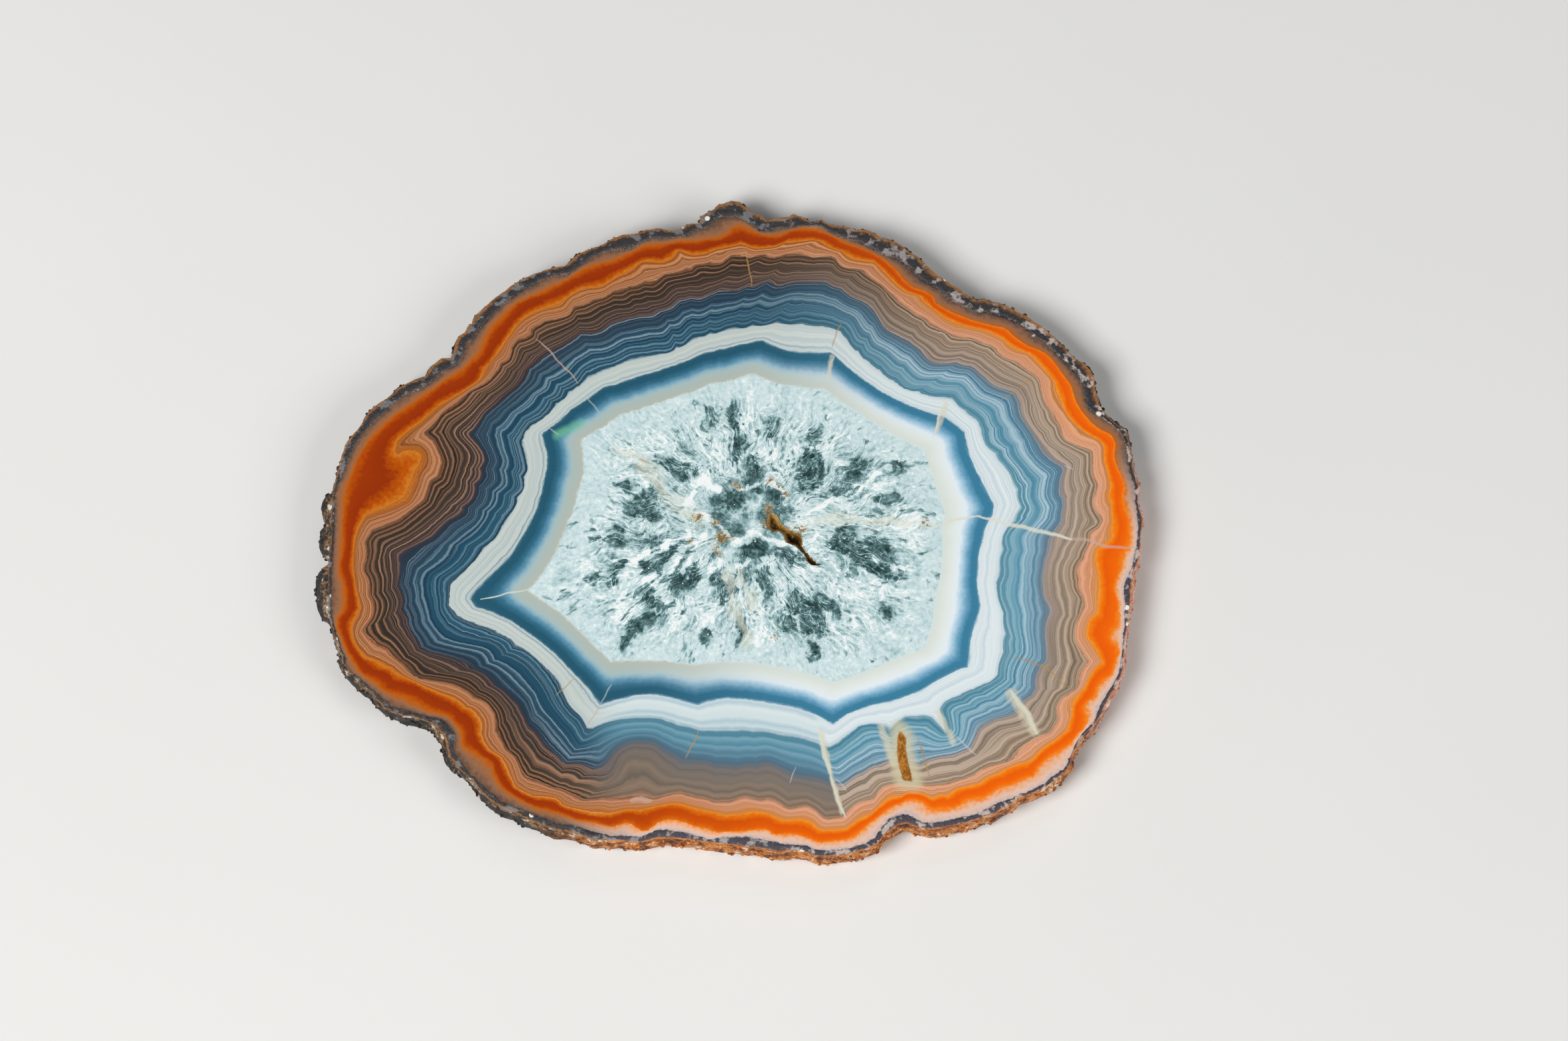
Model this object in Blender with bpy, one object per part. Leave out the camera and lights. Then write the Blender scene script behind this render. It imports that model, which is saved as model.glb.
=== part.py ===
"""A thin polished slice of iris agate, with its natural rim and a small stained vug in the quartz heart.

The slice lies flat: its lower face is at z = 0 and +Z is up. +X runs along its longest way.
Outlines are in millimetres and are turned into metres as they are used.
"""

import bmesh
import bpy
from math import ceil, hypot, pi, sin
from mathutils import Vector, noise

# Driving dimensions
MM = 0.001
THICKNESS_MM = 4.0
RIM_STEP_MM = 0.62  # longest step along the rim
RIM_ROWS = (0.06, 0.26, 0.5, 0.76, 0.94)  # heights of the rim's rows, in thicknesses
EDGE_CHIP_MM = 0.09  # depth of the small chips along the edge of the faces
RIM_BULGE_MM = 0.34  # how far the rough rim stands out past the edge of the faces
RIM_LUMP_MM = 0.34  # height of the rim's own lumps
LUMP_SIZE_MM = 2.1  # width of those lumps
GRIT_MM = 0.12  # height of the small grit on them
GRIT_SIZE_MM = 0.8
VUG_DEPTH_MM = 1.7
VUG_FLOOR_WIDTH = 0.45  # width of the vug's floor, in widths of its mouth
CUT_CLEARANCE_MM = 0.5  # how far the vug's cutter stands above the face
CRYSTAL_SIDES = 6
NOISE_SEED = 7
CENTRE_SHIFT_MM = (-0.03, 0.1)  # puts the origin under the middle of the slice

# The edge of the flat faces, clockwise from the left end over the back
BACK_EDGE_MM = (
    (-39.5, 1.0), (-39.4, 2.1), (-39.3, 3.1), (-39.1, 4.3), (-38.8, 5.9), (-38.4, 7.3), (-38.0, 8.3),
    (-37.4, 9.1), (-36.8, 9.9), (-36.4, 10.7), (-35.9, 11.5), (-34.9, 12.3), (-34.0, 12.9), (-33.1, 13.8),
    (-32.0, 14.4), (-30.4, 15.0), (-30.1, 15.6), (-29.7, 16.2), (-28.9, 16.8), (-27.9, 16.9), (-27.6, 18.0),
    (-27.2, 19.2), (-26.6, 19.6), (-26.4, 20.2), (-25.9, 20.6), (-25.7, 21.1), (-24.9, 21.9), (-24.3, 22.6),
    (-23.6, 23.3), (-22.7, 23.9), (-21.5, 24.9), (-20.8, 25.3), (-19.6, 25.8), (-17.9, 26.4), (-16.8, 26.6),
    (-16.1, 27.1), (-15.4, 27.8), (-14.4, 28.3), (-13.4, 28.6), (-12.1, 29.4), (-10.9, 29.9), (-9.5, 30.0),
    (-8.6, 30.4), (-7.4, 30.6), (-5.7, 30.2), (-5.1, 30.6), (-4.4, 31.0), (-3.2, 31.1), (-3.0, 31.9),
    (-2.4, 32.2), (-1.6, 32.7), (-1.4, 33.0), (-0.6, 33.1), (0.1, 33.5), (0.9, 33.4), (1.4, 32.9),
    (2.4, 32.1), (3.1, 31.9), (3.6, 31.4), (4.4, 31.5), (6.0, 31.8), (6.4, 32.1), (6.9, 31.9), (7.6, 31.5),
    (8.4, 31.1), (9.1, 31.5), (9.6, 31.1), (10.4, 30.9), (11.6, 30.7), (12.8, 30.4), (13.8, 30.4),
    (14.6, 30.1), (15.0, 29.6), (16.6, 29.1), (17.5, 28.6), (18.2, 27.9), (19.1, 27.3), (20.1, 26.2),
    (20.9, 25.6), (22.1, 24.7), (23.1, 24.1), (23.5, 23.6), (24.9, 22.9), (25.5, 23.1), (25.9, 22.8),
    (27.1, 22.6), (28.5, 21.9), (29.4, 21.5), (30.8, 20.5), (31.6, 19.9), (32.8, 18.6), (33.9, 17.4),
    (35.4, 16.3), (36.0, 15.6), (36.3, 14.9), (36.6, 13.0), (36.8, 12.0), (37.5, 11.0), (38.1, 10.3),
    (39.4, 9.4), (39.7, 8.1), (39.9, 7.1), (40.1, 6.2), (40.0, 5.6), (40.2, 4.7), (40.5, 3.7), (40.5, 2.1),
)
FRONT_EDGE_MM = (
    (40.65, 1.0), (40.85, 0.2), (40.8, -0.5), (40.6, -2.2), (40.6, -3.0), (40.5, -3.8), (40.2, -4.4),
    (39.9, -5.0), (39.8, -5.7), (39.85, -6.4), (39.6, -7.6), (39.45, -8.5), (39.3, -10.1), (39.0, -11.6),
    (38.8, -13.3), (38.65, -15.1), (38.35, -15.8), (37.8, -17.1), (37.3, -17.7), (37.1, -18.3),
    (36.7, -18.9), (36.55, -19.5), (36.1, -20.1), (35.2, -21.2), (34.7, -21.6), (34.3, -22.1),
    (33.55, -23.4), (33.35, -23.9), (33.35, -24.6), (33.0, -25.1), (31.8, -26.2), (31.0, -26.75),
    (30.1, -27.3), (29.3, -27.6), (28.1, -27.95), (27.75, -28.4), (27.3, -28.8), (25.9, -29.5),
    (25.0, -29.75), (24.3, -30.1), (22.5, -30.5), (21.0, -30.9), (20.4, -30.95), (19.5, -31.1),
    (18.1, -30.8), (17.3, -30.5), (16.6, -30.6), (15.8, -31.1), (15.2, -31.5), (14.8, -32.1),
    (14.4, -32.55), (13.6, -32.9), (12.5, -33.25), (11.0, -33.6), (9.5, -33.7), (8.3, -33.7), (7.6, -33.4),
    (6.9, -33.2), (5.9, -33.25), (4.8, -33.35), (4.0, -33.2), (3.3, -32.95), (1.8, -32.9), (0.9, -32.7),
    (-0.5, -32.55), (-1.8, -32.3), (-3.6, -32.1), (-5.8, -31.9), (-6.9, -31.9), (-7.8, -32.15),
    (-8.4, -32.35), (-9.2, -32.35), (-10.1, -32.2), (-12.2, -32.1), (-13.1, -32.15), (-13.7, -31.95),
    (-15.1, -31.4), (-16.8, -31.1), (-17.8, -30.75), (-19.4, -30.15), (-20.7, -29.5), (-22.2, -28.95),
    (-23.3, -28.1), (-24.55, -26.85), (-25.1, -26.1), (-25.7, -25.7), (-26.8, -24.5), (-27.2, -24.0),
    (-27.6, -22.9), (-27.75, -22.3), (-28.0, -21.7), (-28.5, -21.1), (-29.0, -20.65), (-30.5, -20.0),
    (-31.3, -19.75), (-32.0, -19.75), (-33.2, -19.25), (-33.8, -18.95), (-34.6, -18.05), (-35.0, -17.5),
    (-36.0, -16.6), (-37.0, -15.6), (-37.9, -14.4), (-38.1, -13.7), (-38.6, -12.3), (-38.9, -11.7),
    (-39.0, -11.0), (-39.45, -9.8), (-39.6, -8.0), (-39.65, -6.0), (-39.65, -4.2), (-39.45, -2.3),
    (-39.45, -1.2), (-39.5, -0.2),
)

# Crust lumps on the left end: middle, half-length along the rim and how far each stands out
CRUST_LUMPS_MM = (
    ((-39.5, 1.5), 1.6, 0.95),
    ((-39.5, -1.7), 1.9, 1.15),
    ((-39.6, -7.0), 2.7, 1.2),
    ((-37.0, -15.4), 2.2, 0.35),
    ((-27.6, -23.0), 2.4, 0.3),
)

# The mouth of the iron-stained vug, clockwise from its wide upper end
VUG_MOUTH_MM = (
    (3.5, 0.0), (3.7, 0.9), (4.2, 1.1), (4.7, 0.7), (5.1, 0.0), (5.7, -0.6), (6.5, -0.95), (7.1, -1.2),
    (7.3, -1.9), (7.25, -2.4), (7.6, -3.0), (8.1, -3.6), (8.7, -4.15), (9.35, -4.4), (8.7, -4.6),
    (8.05, -4.55), (7.55, -4.1), (7.3, -3.45), (6.5, -2.6), (5.5, -2.2), (5.3, -1.5), (4.9, -1.1),
    (4.2, -1.15), (3.7, -0.7),
)

# Quartz points standing from the vug's walls: foot, tip (heights measured down from the face) and radius
QUARTZ_POINTS_MM = (
    ((3.0, 0.5, 1.5), (4.3, 0.2, 0.7), 0.42),
    ((4.9, -1.9, 1.6), (4.9, -0.6, 0.8), 0.45),
    ((6.6, -0.2, 1.5), (6.1, -1.3, 0.7), 0.4),
    ((5.9, -3.1, 1.6), (6.5, -1.9, 0.9), 0.4),
    ((8.0, -2.2, 1.5), (7.0, -2.6, 0.8), 0.34),
    ((7.0, -4.3, 1.5), (8.0, -3.9, 0.8), 0.32),
)


def chipped_edge(points, step):
    """Add points along a closed outline, no further apart than step, each a little in or out of line."""
    finer = []
    for index, (x, y) in enumerate(points):
        next_x, next_y = points[(index + 1) % len(points)]
        pieces = ceil(hypot(next_x - x, next_y - y) / step)
        for piece in range(pieces):
            share = piece / pieces
            at_x = x + (next_x - x) * share
            at_y = y + (next_y - y) * share
            chip = EDGE_CHIP_MM * noise.noise_vector(Vector((at_x, at_y, 0.5)) / GRIT_SIZE_MM)
            finer.append((at_x + chip.x, at_y + chip.y))
    return finer


def add_object(name, mesh, collection):
    """Put a mesh in the scene as an object of its own."""
    piece = bpy.data.objects.new(name, mesh)
    collection.objects.link(piece)
    return piece


def flat_prism(name, outline_mm, thickness_mm, collection):
    """Extrude a flat outline into a closed slab whose lower face is at z = 0."""
    curve = bpy.data.curves.new(name + "_outline", "CURVE")
    curve.dimensions = "2D"
    curve.fill_mode = "BOTH"
    curve.extrude = thickness_mm / 2 * MM
    spline = curve.splines.new("POLY")
    spline.points.add(len(outline_mm) - 1)
    for point, (x, y) in zip(spline.points, outline_mm):
        point.co = (x * MM, y * MM, 0.0, 1.0)
    spline.use_cyclic_u = True
    outline = add_object(name + "_outline", curve, collection)
    bpy.context.view_layer.update()
    evaluated = outline.evaluated_get(bpy.context.evaluated_depsgraph_get())
    mesh = bpy.data.meshes.new_from_object(evaluated)
    mesh.name = name
    bpy.data.objects.remove(outline)
    cage = bmesh.new()
    cage.from_mesh(mesh)
    bmesh.ops.remove_doubles(cage, verts=cage.verts, dist=0.00001)
    bmesh.ops.translate(cage, verts=cage.verts, vec=(0.0, 0.0, thickness_mm / 2 * MM))
    bmesh.ops.recalc_face_normals(cage, faces=cage.faces)
    cage.to_mesh(mesh)
    cage.free()
    return mesh


def crust_height(x, y):
    """How far the crust lumps lift the rim at a place, in millimetres."""
    height = 0.0
    for (middle_x, middle_y), half_length, stand_out in CRUST_LUMPS_MM:
        share = hypot(x - middle_x, y - middle_y) / half_length
        if share < 1.0:
            height = max(height, stand_out * (1.0 - share**2) ** 0.5)
    return height


def rim_height(x, y, height_share):
    """How far the rough rim stands out at a place and height, in millimetres."""
    z = height_share * THICKNESS_MM
    swell = sin(pi * height_share) ** 0.7
    lumps = noise.noise(Vector((x, y, z)) / LUMP_SIZE_MM)
    grit = noise.noise(Vector((x, y, z)) / GRIT_SIZE_MM)
    rough = RIM_BULGE_MM + RIM_LUMP_MM * lumps + GRIT_MM * grit
    return swell * max(0.06, rough + crust_height(x, y))


def roughen_rim(mesh):
    """Cut the slab's side into rows and push them out into the natural rim."""
    cage = bmesh.new()
    cage.from_mesh(mesh)
    for height_share in RIM_ROWS:
        everything = list(cage.verts) + list(cage.edges) + list(cage.faces)
        level = (0.0, 0.0, height_share * THICKNESS_MM * MM)
        bmesh.ops.bisect_plane(cage, geom=everything, plane_co=level, plane_no=(0.0, 0.0, 1.0), dist=1e-7)
    cage.normal_update()
    moves = []
    for vert in cage.verts:
        height_share = vert.co.z / (THICKNESS_MM * MM)
        if not 0.01 < height_share < 0.99:
            continue
        outward = Vector((vert.normal.x, vert.normal.y, 0.0)).normalized()
        stand_out = rim_height(vert.co.x / MM, vert.co.y / MM, height_share)
        moves.append((vert, outward * stand_out * MM))
    for vert, move in moves:
        vert.co += move
    cage.to_mesh(mesh)
    cage.free()


def vug_cutter(collection):
    """The hollow of the vug: a slanting-walled trough from the mouth down to a narrow, uneven floor."""
    cage = bmesh.new()
    face_z = THICKNESS_MM
    count = len(VUG_MOUTH_MM)
    top = []
    mouth = []
    floor = []
    for index, (x, y) in enumerate(VUG_MOUTH_MM):
        other_x, other_y = VUG_MOUTH_MM[-index]
        mid_x, mid_y = (x + other_x) / 2, (y + other_y) / 2
        floor_x = mid_x + (x - mid_x) * VUG_FLOOR_WIDTH
        floor_y = mid_y + (y - mid_y) * VUG_FLOOR_WIDTH
        uneven = noise.noise(Vector((floor_x, floor_y, 0.0)) * 1.7)
        floor_z = face_z - VUG_DEPTH_MM * (1.0 + 0.25 * uneven)
        top.append(cage.verts.new(Vector((x, y, face_z + CUT_CLEARANCE_MM)) * MM))
        mouth.append(cage.verts.new(Vector((x, y, face_z - 0.25)) * MM))
        floor.append(cage.verts.new(Vector((floor_x, floor_y, floor_z)) * MM))
    for index in range(count):
        following = (index + 1) % count
        cage.faces.new((top[index], mouth[index], mouth[following], top[following]))
        cage.faces.new((mouth[index], floor[index], floor[following], mouth[following]))
    lid = cage.faces.new(top)
    base = cage.faces.new(floor)
    bmesh.ops.triangulate(cage, faces=[lid, base])
    bmesh.ops.remove_doubles(cage, verts=cage.verts, dist=0.00002)
    bmesh.ops.recalc_face_normals(cage, faces=cage.faces)
    mesh = bpy.data.meshes.new("vug_cutter")
    cage.to_mesh(mesh)
    cage.free()
    cutter = add_object("vug_cutter", mesh, collection)
    mark_cutter(cutter)
    return cutter


def quartz_point(number, foot, tip, radius, collection):
    """A six-sided quartz prism that ends in a point."""
    foot_at = Vector((foot[0], foot[1], THICKNESS_MM - foot[2])) * MM
    tip_at = Vector((tip[0], tip[1], THICKNESS_MM - tip[2])) * MM
    length = (tip_at - foot_at).length
    shoulder = 0.62 * length
    cage = bmesh.new()
    bmesh.ops.create_cone(cage, cap_ends=True, segments=CRYSTAL_SIDES, radius1=radius * MM,
                          radius2=radius * MM, depth=shoulder)
    bmesh.ops.translate(cage, verts=cage.verts, vec=(0.0, 0.0, shoulder / 2))
    cap = max(cage.faces, key=lambda face: face.calc_center_median().z)
    peak = bmesh.ops.poke(cage, faces=[cap])["verts"][0]
    peak.co.z = length
    turn = Vector((0.0, 0.0, 1.0)).rotation_difference(tip_at - foot_at)
    for vert in cage.verts:
        vert.co = foot_at + turn @ vert.co
    bmesh.ops.recalc_face_normals(cage, faces=cage.faces)
    mesh = bpy.data.meshes.new(f"quartz_point_{number}")
    cage.to_mesh(mesh)
    cage.free()
    crystal = add_object(mesh.name, mesh, collection)
    mark_cutter(crystal)
    return crystal


def mark_cutter(piece):
    """Show a cutter as a wire only, and never in a picture."""
    piece.display_type = "WIRE"
    piece.hide_render = True


def take_away(piece, cutter, name):
    """Leave a live Boolean cut on a piece."""
    cut = piece.modifiers.new(name, "BOOLEAN")
    cut.operation = "DIFFERENCE"
    cut.solver = "EXACT"
    cut.object = cutter


def agate_material():
    """Polished banded agate: slate blue and orange bands read as one greyish tone here."""
    material = bpy.data.materials.new("polished_agate")
    material.use_nodes = True
    shader = material.node_tree.nodes["Principled BSDF"]
    shader.inputs["Base Color"].default_value = (0.36, 0.40, 0.38, 1.0)
    shader.inputs["Roughness"].default_value = 0.12
    shader.inputs["Metallic"].default_value = 0.0
    return material


def main():
    for old in list(bpy.data.objects):
        bpy.data.objects.remove(old)
    noise.seed_set(NOISE_SEED)
    stone = bpy.data.collections.new("iris_agate_slice")
    cutters = bpy.data.collections.new("cutters")
    bpy.context.scene.collection.children.link(stone)
    bpy.context.scene.collection.children.link(cutters)

    shift_x, shift_y = CENTRE_SHIFT_MM
    edge = chipped_edge(BACK_EDGE_MM + FRONT_EDGE_MM, RIM_STEP_MM)
    mesh = flat_prism("agate_slice", edge, THICKNESS_MM, stone)
    roughen_rim(mesh)
    piece = add_object("agate_slice", mesh, stone)
    piece.data.materials.clear()
    piece.data.materials.append(agate_material())

    hollow = vug_cutter(cutters)
    for number, (foot, tip, radius) in enumerate(QUARTZ_POINTS_MM, start=1):
        crystal = quartz_point(number, foot, tip, radius, cutters)
        take_away(hollow, crystal, f"quartz_point_{number}")
    take_away(piece, hollow, "vug")

    for moved in [piece, hollow] + [item for item in cutters.objects if item is not hollow]:
        moved.location = (shift_x * MM, shift_y * MM, 0.0)


main()
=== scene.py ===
"""Looks of the iris agate slice: banded polished faces, a quartz heart with a stained vug and a rough rim.

Outlines are in millimetres, in plan with +Y towards the back, and are turned into metres as they are used.
"""

from math import ceil, cos, hypot, pi, radians, sin

import bpy
import numpy as np
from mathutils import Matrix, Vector, geometry, noise


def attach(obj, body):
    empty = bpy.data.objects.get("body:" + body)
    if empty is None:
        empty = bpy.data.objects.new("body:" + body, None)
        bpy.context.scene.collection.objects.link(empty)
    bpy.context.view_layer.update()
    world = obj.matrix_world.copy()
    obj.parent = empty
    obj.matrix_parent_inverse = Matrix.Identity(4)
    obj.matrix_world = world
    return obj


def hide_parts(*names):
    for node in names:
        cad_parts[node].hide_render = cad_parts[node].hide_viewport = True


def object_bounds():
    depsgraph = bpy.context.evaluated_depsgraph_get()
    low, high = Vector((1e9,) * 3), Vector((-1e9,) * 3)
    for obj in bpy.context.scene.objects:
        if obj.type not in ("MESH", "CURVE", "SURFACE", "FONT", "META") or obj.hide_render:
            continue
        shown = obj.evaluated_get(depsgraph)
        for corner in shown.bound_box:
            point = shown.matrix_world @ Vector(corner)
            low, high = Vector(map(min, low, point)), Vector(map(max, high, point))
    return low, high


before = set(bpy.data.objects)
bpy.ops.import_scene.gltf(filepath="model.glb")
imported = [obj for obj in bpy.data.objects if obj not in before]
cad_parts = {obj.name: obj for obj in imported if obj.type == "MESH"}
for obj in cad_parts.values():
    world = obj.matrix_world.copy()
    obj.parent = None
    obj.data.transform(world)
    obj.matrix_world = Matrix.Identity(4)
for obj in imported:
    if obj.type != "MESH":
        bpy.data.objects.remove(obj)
cad_low, cad_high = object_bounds()

# Sizes of the stone, in millimetres
MM = 0.001
THICKNESS_MM = cad_high.z / MM
CENTRE_SHIFT_MM = (-0.03, 0.1)  # the outlines' own middle to the frame's origin
EDGE_STEP_MM = 0.3
EDGE_CHIP_MM = 0.09
CHIP_SIZE_MM = 0.8
BAND_GRAIN_MM = 0.33  # spacing of the points on the banded faces
HEART_GRAIN_MM = 0.22
UNDERSIDE_GRAIN_MM = 0.55
VUG_GRAIN_MM = 0.14
SEAM_STEP_MM = 0.3
EDGE_ROOM = 0.6  # the share of their spacing that the points keep from the edge
MOUTH_ROOM_OUTSIDE_MM = 0.05
MOUTH_ROOM_INSIDE_MM = 0.04
SEAM_SWAYS_MM = ((2.5, 0.3), (0.8, 0.1))  # size and reach of the waves in a seam
HEART_SWAYS_MM = ((1.6, 0.6), (0.5, 0.25))
SHARP_ANGLE = radians(40.0)
TINY = 1e-6
ONLY_INSIDE = 1  # the triangulation keeps what is inside the edge

# The rough rim: its bulge, and the reach and size of its lumps, grit and sand
RIM_ROWS = 11
RIM_BULGE_MM = 0.24
RIM_TEXTURES_MM = ((0.34, 2.1), (0.12, 0.8), (0.07, 0.3))
RIM_LEAST_MM = 0.05
RIM_ROUNDNESS = 0.7

# The chipped lip of the faces: how far in it reaches, how deep it is and how uneven
LIP_WIDTH_MM = 0.7
LIP_DEPTH_MM = 0.16
LIP_CHIP_MM = 0.5
LIP_MEAN = 0.45
LIP_UNEVENNESS = 0.55
LIP_LEAST = 0.05
LIP_CURVE = 1.4

# The vug: how deep it is, how it starts at its brink, and the quartz points on its walls
VUG_DEPTH_MM = 1.4
VUG_BOX_MM = ((3.0, -5.0), (10.0, 1.5))
VUG_MIDDLE_MM = 5.5
VUG_START_MM = 0.01
VUG_BRINK_MM = 0.2
VUG_SLOPE = 1.9
VUG_LEAST_MM = 0.12
VUG_FINISH_DEPTH_MM = 0.02
QUARTZ_POINT_MM = 0.5
QUARTZ_POINT_HEIGHT = 0.55
QUARTZ_POINT_STEEPNESS = 0.75

# Noise: its seed, and the levels at which the flat outlines and faces read it
NOISE_SEED = 7
EDGE_LEVEL = 0.5
SWAY_LEVEL = 3.0
UPPER_LIP_LEVEL = 9.0
LOWER_LIP_LEVEL = 21.0

# The bands: how they bow in and out round the stone, the lobe they are calm at, and their fine lines
SCALLOPS_PER_TURN = 9.0
SCALLOP_CHANGE = 0.5  # how much the scallops differ from one layer to the next
SCALLOP_MEAN = 0.08
LAYER_EDGE = 0.012
LOBE_REACH_MM = (4.0, 8.0)
LINE_DRIFT = 0.05
LINE_SETS = ((17.0, 0.7), (38.0, 0.5))  # lines in a layer and how strong they are

# The soft stretch along the bottom ends at a leaning cream vein, the calm one at the right below a crack
SOFT_START_MM = (-15.0, -9.5)
SOFT_END_MM = (-0.2, 0.4)
SOFT_TOP_MM = (10.0, 12.0)
VEIN_FOOT_MM = (8.9, -21.0)
VEIN_LEAN = 0.27
CALM_START_MM = (19.0, 21.0)
CALM_FOOT_MM = (-14.0, -9.0)
CALM_AT_THE_RIGHT = 0.7
CRACK_HEIGHT_MM = 2.0
CRACK_LEAN = 0.09
CRACK_EDGE_MM = (-0.2, 1.0)

# The stone is lighter towards the lower right: partly its own paler haze there, partly painted light where
# light falls on that side
LIGHTEST_WAY = radians(20.0)
LIGHT_SPREAD = 0.35
LIGHT_FULL = 0.9

# The heart: how its windows end, how far its layer reaches over its outline and how its rays bend
WINDOW_LEAST_REACH_MM = 0.5
WINDOW_RIM_MM = 0.2
WINDOW_FALL = 0.7
WINDOW_POWER = 1.3
HEART_MARGIN = 0.2
HEART_DRIFTS_MM = ((4.0, 3.6), (1.2, 0.6))

# The crystals strewn over the rim
CRYSTALS_PER_SQUARE_METRE = 9e5
SMALLEST_CRYSTAL_MM = 0.07
LARGEST_CRYSTAL_MM = 0.26

# Ways for the shader's sums
IN_PLAN = (1.0, 1.0, 0.0)
SIDEWAYS = (1.0, 0.0, 0.0)
UPWARDS = (0.0, 0.0, 1.0)

# The studio: each lamp's name, place and size in metres and power in watts, the surround and the floor
LAMPS = (
    ("key_light", (-0.42, -0.28, 0.62), 0.4, 5.8),
    ("fill_light", (0.55, -0.25, 0.42), 0.4, 2.1),
    ("back_light", (0.12, 0.5, 0.62), 0.4, 0.5),
)
SURROUND_TINT = (0.92, 0.95, 1.0, 1.0)
SURROUND_STRENGTH = 0.08
FLOOR_HALF_SIZE = 2.0
FLOOR_DROP = 0.00004
FLOOR_MOTTLE_MM = 90.0
FLOOR_STOPS = ((0.0, (226, 225, 222)), (1.0, (234, 233, 230)))

# The camera looks down at the slice, a little from the front
IMAGE_WIDTH_PX = 2362
LENS_MM = 100.0
SENSOR_MM = 36.0
CAMERA_TILT = radians(15.0)
PIXELS_PER_MM = 15.2
AIM_MM = (5.37, 0.03)
NEAREST_SEEN = 0.01

# The edge of the flat faces, clockwise from the left end over the back
BACK_EDGE_MM = (
    (-39.5, 1.0), (-39.4, 2.1), (-39.3, 3.1), (-39.1, 4.3), (-38.8, 5.9), (-38.4, 7.3), (-38.0, 8.3),
    (-37.4, 9.1), (-36.8, 9.9), (-36.4, 10.7), (-35.9, 11.5), (-34.9, 12.3), (-34.0, 12.9), (-33.1, 13.8),
    (-32.0, 14.4), (-30.4, 15.0), (-30.1, 15.6), (-29.7, 16.2), (-28.9, 16.8), (-27.9, 16.9), (-27.6, 18.0),
    (-27.2, 19.2), (-26.6, 19.6), (-26.4, 20.2), (-25.9, 20.6), (-25.7, 21.1), (-24.9, 21.9), (-24.3, 22.6),
    (-23.6, 23.3), (-22.7, 23.9), (-21.5, 24.9), (-20.8, 25.3), (-19.6, 25.8), (-17.9, 26.4), (-16.8, 26.6),
    (-16.1, 27.1), (-15.4, 27.8), (-14.4, 28.3), (-13.4, 28.6), (-12.1, 29.4), (-10.9, 29.9), (-9.5, 30.0),
    (-8.6, 30.4), (-7.4, 30.6), (-5.7, 30.2), (-5.1, 30.6), (-4.4, 31.0), (-3.2, 31.1), (-3.0, 31.9),
    (-2.4, 32.2), (-1.6, 32.7), (-1.4, 33.0), (-0.6, 33.1), (0.1, 33.5), (0.9, 33.4), (1.4, 32.9),
    (2.4, 32.1), (3.1, 31.9), (3.6, 31.4), (4.4, 31.5), (6.0, 31.8), (6.4, 32.1), (6.9, 31.9), (7.6, 31.5),
    (8.4, 31.1), (9.1, 31.5), (9.6, 31.1), (10.4, 30.9), (11.6, 30.7), (12.8, 30.4), (13.8, 30.4),
    (14.6, 30.1), (15.0, 29.6), (16.6, 29.1), (17.5, 28.6), (18.2, 27.9), (19.1, 27.3), (20.1, 26.2),
    (20.9, 25.6), (22.1, 24.7), (23.1, 24.1), (23.5, 23.6), (24.9, 22.9), (25.5, 23.1), (25.9, 22.8),
    (27.1, 22.6), (28.5, 21.9), (29.4, 21.5), (30.8, 20.5), (31.6, 19.9), (32.8, 18.6), (33.9, 17.4),
    (35.4, 16.3), (36.0, 15.6), (36.3, 14.9), (36.6, 13.0), (36.8, 12.0), (37.5, 11.0), (38.1, 10.3),
    (39.4, 9.4), (39.7, 8.1), (39.9, 7.1), (40.1, 6.2), (40.0, 5.6), (40.2, 4.7), (40.5, 3.7), (40.5, 2.1),
)
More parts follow.
